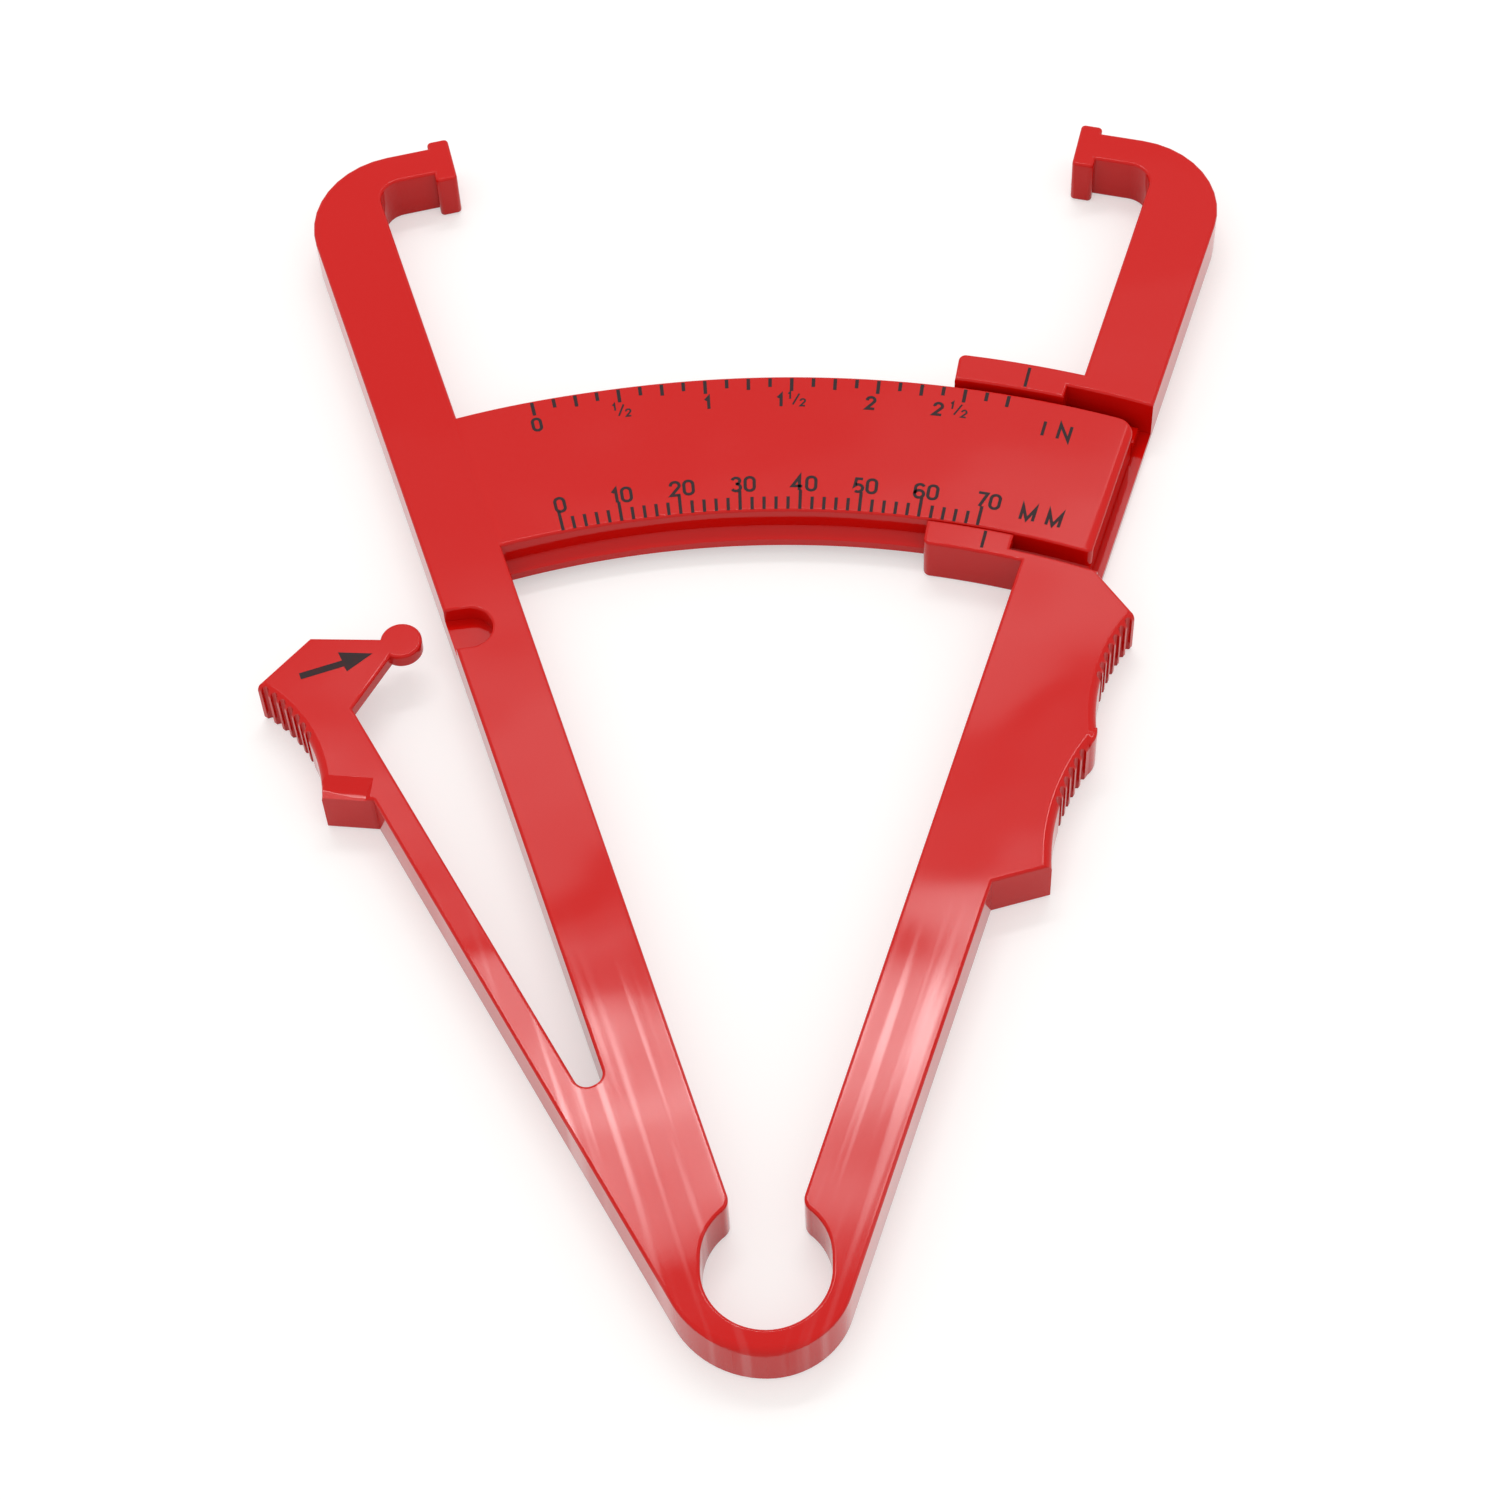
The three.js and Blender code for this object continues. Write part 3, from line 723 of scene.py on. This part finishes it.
def scale_face():
    """The printed ring sector from inside the left arm to its free end over the right arm."""
    root = inner_edge(LEFT)

    def within(radius):
        return at_radius(lambda along: root(along, ARM_FOOT_WIDTH / 2), radius)

    top, foot = at_radius(scale_end, SCALE_OUTER), at_radius(scale_end, SCALE_INNER)
    pen = Pen(within(SCALE_INNER))
    pen.line(within(SCALE_OUTER))
    pen.ring(angle_of(top) - WIDE_ARC_STEP * 2)
    pen.corner(top, foot, SCALE_END_ROUND)
    pen.corner(foot, polar(SCALE_INNER, angle_of(foot) - WIDE_ARC_STEP), SCALE_FOOT_ROUND)
    pen.ring(angle_of(within(SCALE_INNER)) + WIDE_ARC_STEP)
    face = plate(pen, SCALE_BOTTOM + FLUSH, SCALE_FACE)
    for step in range(RAMP_STEPS + 1):
        angle = RAMP_START + (RAMP_END - RAMP_START) * step / RAMP_STEPS
        slice_at(face, [PIVOT], polar(1, angle + 90))
    outward = scale_end(0, 1) - scale_end(0)
    slice_at(face, [scale_end(0, -END_ROLL_RUN * step / END_ROLL_STEPS)
                    for step in range(1, END_ROLL_STEPS + 1)], outward)
    for vert in face.verts:
        if vert.co.z > LEDGE_TOP:
            roll = max(0, 1 - (scale_end(0) - vert.co).dot(outward) / END_ROLL_RUN)
            vert.co.z += (face_height(angle_of(vert.co)) - SCALE_FACE
                          - END_ROLL_DROP * roll ** 2)
    return level_top(face)


def scale_ledge(wall, side):
    """The strip beside one of the scale's two walls, which the index tabs reach over."""
    fillet = RIM / 2
    rim = wall + side * LEDGE_WIDTH
    low = LEDGE_TOP - LEDGE_FALL
    profile = [(wall - side * LEDGE_LEAD, SCALE_BOTTOM), (wall - side * LEDGE_LEAD, LEDGE_TOP),
               (wall, LEDGE_TOP), (rim - side * fillet, low), (rim, low - fillet),
               (rim, SCALE_BOTTOM + fillet), (rim - side * fillet, SCALE_BOTTOM)]
    points = [polar(radius, LEDGE_START) + UP * height for radius, height in profile]
    pen = Pen(points[0])
    pen.line(*points[1:])
    section = pen.face()
    ledge = pen.shape
    bmesh.ops.spin(
        ledge, geom=[section, *section.edges, *section.verts], cent=PIVOT, axis=UP,
        angle=radians(LEDGE_START - LEDGE_END),
        steps=ceil((LEDGE_END - LEDGE_START) / WIDE_ARC_STEP))
    bmesh.ops.recalc_face_normals(ledge, faces=ledge.faces[:])
    trim(ledge, scale_end(0, -WALL_SLACK), scale_end(0, 1) - scale_end(0))
    return ledge


def build_frame():
    """The left arm with its jaw, the lever's root, the scale and the pocket for the disc."""
    outer = outer_edge(LEFT)
    slot_floor = lever_edge(SLOT_END, -BEAM_WIDTH)
    slot_corner = crossing(lever_edge(SLOT_END), slot_floor, outer(0), outer(1))
    pen = Pen(at_height(lever_edge, HOLE_RISE - CUT_BEYOND))
    pen.line(lever_edge(BEAM_ROOT + CUT_BEYOND),
             lever_edge(BEAM_ROOT + CUT_BEYOND, -BEAM_WIDTH))
    pen.corner(slot_floor, slot_corner, SLOT_ROUND)
    pen.corner(slot_corner, outer(JAW_ROOT), SLOT_ROUND)
    draw_jaw(pen, LEFT)
    draw_neck(pen, LEFT)
    arm = level_top(plate(pen, BOTTOM, TOP))
    trim(arm, HOLE_LOW, -Vector((0, 1, 0)))
    beyond, inward = BEAM_ROOT + CUT_BEYOND * 2, -BEAM_WIDTH - SLOT_MARGIN
    stub = [lever_edge(BEAM_ROOT, CUT_MARGIN), lever_edge(beyond, CUT_MARGIN),
            lever_edge(beyond, inward), lever_edge(BEAM_ROOT, inward)]
    arm = cut(arm, box_from(stub, BOTTOM - CUT_MARGIN, TOP + CUT_MARGIN))
    for member in (scale_face(), scale_ledge(SCALE_INNER, -1), scale_ledge(SCALE_OUTER, 1)):
        arm = add(arm, member)
    return cut(arm, pocket_cutter())


def draw_scallop(pen, edge, end_along, out, depth):
    """A hollow, or a bulge where the depth is negative, from the last point to a point that is
    given along an edge and out from it. Gives the hollow's start, end and centre."""
    start, end = pen.last.co.copy(), edge(end_along, out)
    chord = end - start
    radius = (chord.length ** 2 / 4 + depth ** 2) / (2 * depth)
    outward = (edge(0, 1) - edge(0)).normalized()
    outward -= chord * outward.dot(chord) / chord.length ** 2
    centre = (start + end) / 2 + outward.normalized() * (radius - depth)
    pen.swing_to(end, centre, ARC_STEP / 2)
    return start, end, centre


def shoulder_cutter(start, end, centre):
    """Rolls the top edge of a hollow over into a wide soft shoulder."""
    slack = WALL_SLACK / (start - centre).length
    pen = Pen(start.lerp(centre, slack))
    pen.swing_to(end.lerp(centre, slack), centre, ARC_STEP / 2)
    pen.line(centre)
    return cutter(pen, TOP - SHOULDER * 2, TOP, lip=SHOULDER)


def groove_cutters(first, centre, count, lead, way):
    """Upright round cutters along a hollow's wall, one after another."""
    shapes = []
    spoke = first - centre
    for index in range(count):
        turn = way * (lead + index * GROOVE_PITCH) / spoke.length
        wall = centre + Matrix.Rotation(turn, 3, "Z") @ spoke
        middle = wall.lerp(centre, GROOVE_SET_OUT / spoke.length)
        groove = bmesh.new()
        bmesh.ops.create_cone(
            groove, cap_ends=True, segments=GROOVE_SIDES, radius1=GROOVE_RADIUS,
            radius2=GROOVE_RADIUS, depth=TOP + CUT_MARGIN * 2,
            matrix=Matrix.Translation(middle + UP * TOP / 2))
        shapes.append(groove)
    return merge(shapes)


def ridged(shape, hollow, from_end, count, lead):
    """Gives a hollow its shoulder and its grooves, counted from its start or its end."""
    start, end, centre = hollow
    turn = (start - centre).cross(end - centre).z
    way = -1 if (turn > 0) == from_end else 1
    first = end if from_end else start
    shape = cut(shape, groove_cutters(first, centre, count, lead, way))
    return cut(shape, shoulder_cutter(*hollow))


def channel_cutters():
    """The scale's way across the right arm, and the room for its ledges under the tabs."""
    edge = outer_edge(RIGHT)
    past = angle_of(at_radius(edge, CHANNEL_INNER)) + SWEEP_OVERRUN
    before = TAB_START - SWEEP_OVERRUN
    pen = Pen(polar(LOWER_TAB[1], before))
    for angle, radius in ((LOWER_TAB_END, CHANNEL_INNER), (past, CHANNEL_OUTER),
                          (UPPER_TAB_END, UPPER_TAB[0])):
        pen.ring(angle)
        pen.line(polar(radius, angle))
    pen.ring(before)
    way = cutter(pen, CHANNEL_FLOOR, TOP)
    pen = Pen(polar(TAB_ROOM[0], before))
    pen.ring(past)
    pen.line(polar(TAB_ROOM[1], past))
    pen.ring(before)
    return way, plate(pen, CHANNEL_FLOOR + FLUSH, TAB_ROOM_TOP, rim=0, foot_rim=0)


def build_arm():
    """The right arm with its jaw, the finger grip, the scale's channel and the index tabs."""
    edge, inner = outer_edge(RIGHT), inner_edge(RIGHT)
    corner = GRIP_TOP - GRIP_TOP_RUN
    upper_end = corner - UPPER_SCALLOP_LENGTH
    peak_end = upper_end - GRIP_PEAK_LENGTH
    lower_end = peak_end - LOWER_SCALLOP_LENGTH
    pen = Pen(at_height(edge, HOLE_RISE - CUT_BEYOND))
    pen.line(edge(lower_end - GRIP_HEEL_RUN), edge(lower_end, GRIP_HEIGHT))
    peak = GRIP_HEIGHT - PEAK_SETBACK
    lower = draw_scallop(pen, edge, peak_end, peak, LOWER_SCALLOP_DEPTH)
    draw_scallop(pen, edge, upper_end, peak, -PEAK_BULGE)
    upper = draw_scallop(pen, edge, corner, GRIP_HEIGHT, UPPER_SCALLOP_DEPTH)
    pen.line(edge(GRIP_TOP))
    draw_jaw(pen, RIGHT)
    upper_root, lower_root = at_radius(inner, UPPER_TAB[1]), at_radius(inner, LOWER_TAB[0])
    pen.line(upper_root)
    pen.ring(TAB_START + WIDE_ARC_STEP * 2)
    pen.corner(polar(UPPER_TAB[1], TAB_START), polar(LOWER_TAB[0], TAB_START), TAB_ROUND)
    pen.corner(polar(LOWER_TAB[0], TAB_START),
               polar(LOWER_TAB[0], TAB_START + WIDE_ARC_STEP), TAB_ROUND)
    pen.ring(angle_of(lower_root))
    draw_neck(pen, RIGHT)
    arm = plate(pen, BOTTOM, TOP)
    trim(arm, HOLE_LOW, -Vector((0, 1, 0)))
    arm = ridged(arm, lower, True, LOWER_GROOVES, LOWER_GROOVE_LEAD)
    arm = ridged(arm, upper, True, UPPER_GROOVES, GROOVE_LEAD)
    way, room = channel_cutters()
    return cut(cut(arm, way), room)


def neck_middle():
    """How far along the lever the neck between its head and its disc lies."""
    return HEAD_ROOT + HEAD_LENGTH / 2 + NECK_SHIFT


def disc_centre():
    reach = sqrt(DISC_RADIUS ** 2 - NECK_WIDTH ** 2 / 4)
    return lever_edge(neck_middle(), HEAD_TIP - reach)


def shelf_cutter(near, far):
    """The lowered shelf and its slope behind the front edge of the thumb pad's heel."""
    along = (far - near).normalized()
    back = along.cross(UP)
    spread = (SHELF_DROP + CUT_MARGIN) / SHELF_DROP
    start, end = near + along * SHELF_INSET, far + along * CUT_BEYOND
    corners = [start - back, start + back * SHELF_DEPTH, end + back * SHELF_DEPTH, end - back]
    shelf = box_from(corners, TOP - SHELF_DROP, TOP + CUT_MARGIN)
    for vert in shelf.verts:
        if vert.co.z > TOP:
            if (vert.co - near).dot(back) > 0:
                vert.co += back * SHELF_SLOPE * spread
            if (vert.co - near).dot(along) < (far - near).length:
                vert.co -= along * SHELF_SIDE * spread
    return shelf


def build_lever():
    """The ridged thumb pad, the thin head that carries the arrow, and the disc."""
    stub = BEAM_TIP - CUT_BEYOND
    neck_turn = degrees(asin(NECK_WIDTH / 2 / DISC_RADIUS))
    pen = Pen(lever_edge(stub))
    pen.line(lever_edge(stub, -BEAM_WIDTH), lever_edge(HEAD_ROOT, -BEAM_WIDTH),
             lever_edge(neck_middle() - NECK_WIDTH / 2, HEAD_TIP))
    pen.swing(disc_centre(), 360 - 2 * neck_turn, ARC_STEP * 2)
    pen.line(lever_edge(HEAD_END, -BEAM_WIDTH), lever_edge(THUMB_PAD_CREST, THUMB_PAD_HEIGHT))
    hollow = draw_scallop(pen, lever_edge, THUMB_PAD_HEEL, THUMB_PAD_HEIGHT, THUMB_SCALLOP_DEPTH)
    pen.line(lever_edge(BEAM_TIP))
    lever = plate(pen, BOTTOM, TOP)
    tip = lever_edge(BEAM_TIP)
    trim(lever, tip, lever_edge(0) - lever_edge(1))
    lever = ridged(lever, hollow, False, THUMB_GROOVES, GROOVE_LEAD)
    corner = lever_edge(THUMB_PAD_HEEL, THUMB_PAD_HEIGHT)
    lever = cut(lever, shelf_cutter(tip, corner))
    along = (corner - tip).normalized()
    back = along.cross(UP)
    slice_at(lever, [tip + back * (SHELF_DEPTH + SHELF_SLOPE - SHELF_CREASE)], back)
    slice_at(lever, [tip + along * (SHELF_INSET - SHELF_SIDE + SHELF_CREASE)], along)
    before, beyond = HEAD_ROOT - CUT_MARGIN, HEAD_END + CUT_BEYOND
    under = [lever_edge(before, -BEAM_WIDTH - FLUSH), lever_edge(beyond, -BEAM_WIDTH - FLUSH),
             lever_edge(beyond, HEAD_TIP * 2), lever_edge(before, HEAD_TIP * 2)]
    return cut(lever, box_from(under, BOTTOM - CUT_MARGIN, HEAD_UNDERSIDE))


def build_beam():
    """The lever's slim beam, crossed with edges along its length at the places where the real
    beam bends.
    """
    low, high = BEAM_ROOT - CUT_BEYOND, BEAM_TIP + CUT_BEYOND
    pen = Pen(lever_edge(low))
    pen.line(lever_edge(high), lever_edge(high, -BEAM_WIDTH), lever_edge(low, -BEAM_WIDTH))
    beam = plate(pen, BOTTOM, TOP)
    up = lever_edge(1) - lever_edge(0)
    trim(beam, lever_edge(BEAM_TIP), up)
    trim(beam, lever_edge(BEAM_ROOT), -up)
    run = (BEAM_TIP - BEAM_ROOT) / BEAM_STRIPS
    slice_at(beam, [lever_edge(BEAM_ROOT + run * step) for step in range(1, BEAM_STRIPS)], up)
    return beam


def bow_cutter():
    """Rolls the top edge of the loop's front over, less and less up its two sides."""
    centre = Vector((0, BOW_ROLL_RADIUS - LOOP_DROP - WALL_SLACK, 0))
    wide = BOW_ROLL_RADIUS * 2
    pen = Pen(centre + polar(BOW_ROLL_RADIUS, 90))
    pen.swing(centre, -180)
    pen.line(*(centre + Vector((across, along, 0)) for across, along in (
        (-wide, 0), (-wide, -wide), (wide, -wide), (wide, 0))))
    return cutter(pen, TOP - BOW_ROLL * 2, TOP, lip=BOW_ROLL)


def build_loop():
    """The loop spring, crossed with edges at the places where the real spring bends."""
    level = HOLE_RISE + HOLE_STRETCH
    pen = Pen(at_height(outer_edge(RIGHT), level))
    for side, foot, angle in ((RIGHT, OUTER_FOOT, OUTER_ANGLE), (LEFT, LEVER_FOOT, LEVER_ANGLE)):
        sine, cosine = sin(radians(angle)), cos(radians(angle))
        radius = (foot * cosine - LOOP_DROP * sine) / (1 - sine)
        centre = Vector((0, radius - LOOP_DROP, 0))
        if side == RIGHT:
            pen.line(centre + polar(radius, 90 + angle))
        pen.swing(centre, angle - 90)
    pen.line(at_height(lever_edge, level), HOLE_HIGH + polar(HOLE_RADIUS, -90),
             HOLE_LOW + polar(HOLE_RADIUS, -90))
    pen.swing(HOLE_LOW, 180)
    pen.line(HOLE_HIGH + polar(HOLE_RADIUS, 90))
    loop = cut(plate(pen, BOTTOM, TOP), bow_cutter())
    trim(loop, HOLE_LOW, Vector((0, 1, 0)))
    width = HOLE_RADIUS * 2
    slice_at(loop, [Vector((width * (step / LOOP_STRIPS - 0.5), 0, 0))
                    for step in range(1, LOOP_STRIPS)], Vector((1, 0, 0)))
    return loop


# Print: glyph strokes in a box one unit high. A stroke is a start, then points to draw to, or
# (x, y, turn) for an arc about x, y with a turn to the left counted positive.

GLYPHS = {
    "0": [[(0, 0.27), (0.27, 0.27, 180), (0.54, 0.73), (0.27, 0.73, 180), (0, 0.27)]],
    "1": [[(0.08, 0.74), (0.3, 1), (0.3, 0)]],
    "2": [[(0, 0.7), (0.26, 0.73, -215), (0, 0), (0.54, 0)]],
    "3": [[(0.03, 0.82), (0.25, 0.76, -255)], [(0.22, 0.53), (0.25, 0.27, -250)]],
    "4": [[(0.42, 0), (0.42, 1), (0, 0.3), (0.6, 0.3)]],
    "5": [[(0.5, 1), (0.12, 1), (0.05, 0.47), (0.26, 0.3, -270)]],
    "6": [[(0.5, 0.85), (0.27, 0.73, 150), (0, 0.27), (0.27, 0.27, 360)]],
    "7": [[(0, 1), (0.54, 1), (0.2, 0)]],
    "M": [[(0, 0), (0, 1), (0.4, 0.05), (0.8, 1), (0.8, 0)]],
    "N": [[(0, 0), (0, 1), (0.62, 0), (0.62, 1)]],
    "I": [[(0, 0), (0, 1)]],
    "/": [[(0, 0), (0.45, 1)]],
}
GLYPH_WIDTHS = {"1": 0.38, "4": 0.6, "M": 0.8, "N": 0.62, "I": 0.05, "/": 0.45}
GLYPH_WIDTH = 0.54
GLYPH_ARC_STEP = 18


def glyph(character, height):
    """One character's strokes as bare chains of edges about the origin, and its width."""
    width = GLYPH_WIDTHS.get(character, GLYPH_WIDTH)
    chains = []
    for first, *moves in GLYPHS[character]:
        pen = Pen(Vector((*first, 0)))
        for move in moves:
            if len(move) == 3:
                pen.swing(Vector((*move[:2], 0)), move[2], GLYPH_ARC_STEP)
            else:
                pen.line(Vector((*move, 0)))
        chains.append(pen.shape)
    shape = merge(chains)
    bmesh.ops.remove_doubles(shape, verts=shape.verts[:], dist=FLUSH)
    fit = Matrix.Scale(height, 4) @ Matrix.Translation((-width / 2, -0.5, 0))
    bmesh.ops.transform(shape, matrix=fit, verts=shape.verts[:])
    return shape, width * height


def label(text, radius, angle, height, gap=0):
    """The strokes of a word or number that follows an arc about the pivot, under the face."""
    glyphs = [glyph(character, height) for character in text]
    length = sum(width for _, width in glyphs) + gap * (len(glyphs) - 1)
    start = -length / 2
    shapes = []
    for shape, width in glyphs:
        turn = radians(angle) + (start + width / 2) / radius
        place = (Matrix.Rotation(-turn, 4, "Z")
                 @ Matrix.Translation((0, radius, SCALE_FACE - INK_DEPTH)))
        bmesh.ops.transform(shape, matrix=place, verts=shape.verts[:])
        start += width + gap
        shapes.append(shape)
    return shapes


def inked(strokes, width, name):
    """Strokes raised to the ink's thickness and given their width."""
    shape = merge(strokes)
    raised = bmesh.ops.extrude_edge_only(shape, edges=shape.edges[:])["geom"]
    bmesh.ops.translate(
        shape, verts=[item for item in raised if isinstance(item, bmesh.types.BMVert)],
        vec=UP * INK_DEPTH * 2)
    piece = as_object(shape, name)
    solidify = piece.modifiers.new("stroke", "SOLIDIFY")
    solidify.thickness, solidify.offset, solidify.use_even_offset = width, 0, True
    return finished(piece)


def tick(inner, outer, angle, width, level=SCALE_FACE):
    """A straight line of ink toward the pivot, between two radii."""
    shape = bmesh.new()
    place = (Matrix.Rotation(-radians(angle), 4, "Z")
             @ Matrix.Translation((0, (inner + outer) / 2, level))
             @ Matrix.Diagonal((width, outer - inner, INK_DEPTH * 2, 1)))
    bmesh.ops.create_cube(shape, size=1, matrix=place)
    return shape


def half_mark(angle):
    """A small one half: a slanted stroke with a figure on each side."""
    aside = degrees(HALF_ASIDE / HALF_RADIUS)
    return (label("1", HALF_RADIUS + HALF_RAISED, angle - aside, HALF_FIGURE)
            + label("/", HALF_RADIUS, angle, HALF_SLASH)
            + label("2", HALF_RADIUS - HALF_LOWERED, angle + aside, HALF_FIGURE))


def follow_face(marks):
    """Sets marks that were made at the scale's plain height down on its easing face."""
    for vert in marks.verts:
        vert.co.z += face_height(angle_of(vert.co)) - SCALE_FACE
    return marks


def build_scale_marks():
    """The scale's two rows of ticks, their numbers and halves, and the letters of their units."""
    marks = []
    for count in range(MM_TICKS):
        end = MM_TICK_END if count % TICKS_PER_NUMBER else MM_LONG_TICK_END
        angle = ZERO_ANGLE + count * MM_PER_TICK * DEGREES_PER_MM
        marks.append(tick(MM_TICK_FOOT, end, angle, MM_TICK_WIDTH))
    for count in range(INCH_TICKS):
        length = EIGHTH_TICK if count % 2 else QUARTER_TICK if count % 4 else HALF_TICK
        angle = ZERO_ANGLE + count * DEGREES_PER_EIGHTH
        marks.append(tick(INCH_TICK_HEAD - length, INCH_TICK_HEAD, angle, INCH_TICK_WIDTH))
    numbers, halves, letters = [], [], []
    for count, angle in enumerate(MM_NUMBER_ANGLES):
        text = str(count * MM_PER_TICK * TICKS_PER_NUMBER)
        numbers += label(text, MM_NUMBER_RADIUS, angle, MM_NUMBER_HEIGHT, MM_NUMBER_GAP)
    for text, angle in INCH_NUMBERS:
        numbers += label(text, INCH_NUMBER_RADIUS, angle, INCH_NUMBER_HEIGHT)
    for angle in HALF_ANGLES:
        halves += half_mark(angle)
    for text, radius, angle, height, gap in UNITS:
        letters += label(text, radius, angle, height, gap)
    marks += [inked(numbers, NUMBER_STROKE, "numbers"), inked(halves, HALF_STROKE, "halves"),
              inked(letters, UNIT_STROKE, "letters")]
    return follow_face(merge(marks))


def build_index_marks():
    """The line on each index tab that the scale is read at."""
    return merge([tick(inner, outer, INDEX_ANGLE, INDEX_WIDTH, TOP)
                  for inner, outer in INDEX_LINES])


def build_arrow():
    """The arrow on the lever's head, which points the way that the lever is pressed."""
    side = (ARROW_NECK - ARROW_TAIL).cross(UP).normalized() * ARROW_HALF_WIDTH
    left_barb, right_barb = ARROW_BARBS
    corners = [ARROW_TAIL + side, ARROW_NECK + side, right_barb, ARROW_TIP, left_barb,
               ARROW_NECK - side, ARROW_TAIL - side]
    return box_from(corners, TOP - INK_DEPTH, TOP + INK_DEPTH)


# Pieces

def in_model(point):
    """A drawn point in the model's frame, in metres."""
    return tuple((point + PIVOT_IN_MODEL) * MILLIMETRE)


frame_skin = settle(build_frame(), "frame_skin", RED, "frame")
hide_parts("left_arm", "left_hook", "left_pad", "scale_sector")
arm_skin = settle(build_arm(), "arm_skin", RED, "arm")
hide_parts("right_arm", "right_hook", "right_pad", "upper_index_tab",
            "lower_index_tab", "finger_grip")
lever_skin = settle(build_lever(), "lever_skin", RED, "lever")
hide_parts("thumb_pad", "lever_head", "click_disc")
beam_skin = settle(build_beam(), "beam_skin", RED)
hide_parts("lever_beam")
in_model(lever_edge(BEAM_ROOT))
in_model(lever_edge(BEAM_TIP))
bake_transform(beam_skin)
loop_skin = settle(build_loop(), "loop_skin", RED)
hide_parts("loop_spring")
in_model(Vector((-HOLE_RADIUS, 0, 0)))
in_model(Vector((HOLE_RADIUS, 0, 0)))
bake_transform(loop_skin)
settle(build_scale_marks(), "scale_marks", INK, "frame")
settle(build_index_marks(), "index_marks", INK, "arm")
settle(build_arrow(), "lever_arrow", INK, "lever")


# Table, light and camera

table_shape = bmesh.new()
bmesh.ops.create_grid(table_shape, x_segments=1, y_segments=1, size=TABLE_SIZE / 2,
                      matrix=Matrix.Translation((0, 0, TABLE_LEVEL)))
table = as_object(table_shape, "table")
table.data.materials.append(white_table())

world = bpy.data.worlds.new("studio")
bpy.context.scene.world = world
world.use_nodes = True
studio = Finish("studio", world.node_tree)
sky = studio.node("Background", None, {"Color": SKY_COLOUR, "Strength": SKY_STRENGTH})
white = studio.node("Background", None, {"Color": WHITE, "Strength": 1})
mixed = studio.node("MixShader", None, {0: seen_rays(studio), 1: sky, 2: white})
studio.node("OutputWorld", None, {"Surface": mixed})


def mirrored(point):
    """Where the camera's ray arrives after the top face turns it up at a point of the plan."""
    point = (point + PIVOT_IN_MODEL + UP * TOP) * MILLIMETRE
    ray = (point - CAMERA_PLACE).normalized()
    return point + Vector((ray.x, ray.y, -ray.z)) * LAMP_DISTANCE


def lamp_at(name, place, across, upward, size, radiance):
    """A rectangular lamp with its two edges along the given directions."""
    lamp = bpy.data.lights.new(name, "AREA")
    lamp.shape, lamp.size, lamp.size_y = "RECTANGLE", size[0], size[1]
    lamp.energy = radiance * pi * size[0] * size[1]
    holder = bpy.data.objects.new(name, lamp)
    turn = Matrix((across, upward, across.cross(upward))).transposed()
    holder.matrix_world = Matrix.Translation(place) @ turn.to_4x4()
    bpy.context.scene.collection.objects.link(holder)


def softbox(name, near, far, radiance, slope, left=-LAMP_REACH, right=LAMP_REACH):
    """A lamp whose reflection lies across the arms, between two heights on the middle line."""
    def seen(x, height):
        return mirrored(Vector((x, height + slope * x, 0)))

    middle, level = (left + right) / 2, (near + far) / 2
    centre = (seen(middle, near) + seen(middle, far)) / 2
    across = seen(right, level) - seen(left, level)
    target = (Vector((middle, level + slope * middle, 0)) + PIVOT_IN_MODEL) * MILLIMETRE
    axis = (centre - target).normalized()
    across -= axis * across.dot(axis)
    upward = axis.cross(across).normalized()
    reach = abs((seen(middle, far) - seen(middle, near)).dot(upward))
    lamp_at(name, centre, across.normalized(), upward, (across.length, reach), radiance)


for pane in WINDOW:
    softbox(*pane, WINDOW_SLOPE)
softbox(*LEVER_GLINT, WINDOW_SLOPE, GLINT_LEFT, GLINT_RIGHT)
for band in WALL:
    softbox(*band, WALL_SLOPE)

lens = bpy.data.cameras.new("camera")
lens.sensor_width = SENSOR
lens.lens = FOCAL_PIXELS / PHOTO_WIDTH * SENSOR
lens.clip_start = CLIP_START
camera = bpy.data.objects.new("camera", lens)
facing = (CAMERA_TARGET - CAMERA_PLACE).to_track_quat("-Z", "Y").to_matrix()
facing = facing @ Matrix.Rotation(radians(CAMERA_ROLL), 3, "Z")
camera.matrix_world = Matrix.Translation(CAMERA_PLACE) @ facing.to_4x4()
bpy.context.scene.collection.objects.link(camera)
bpy.context.scene.camera = camera
bpy.context.scene.view_settings.view_transform = "Standard"
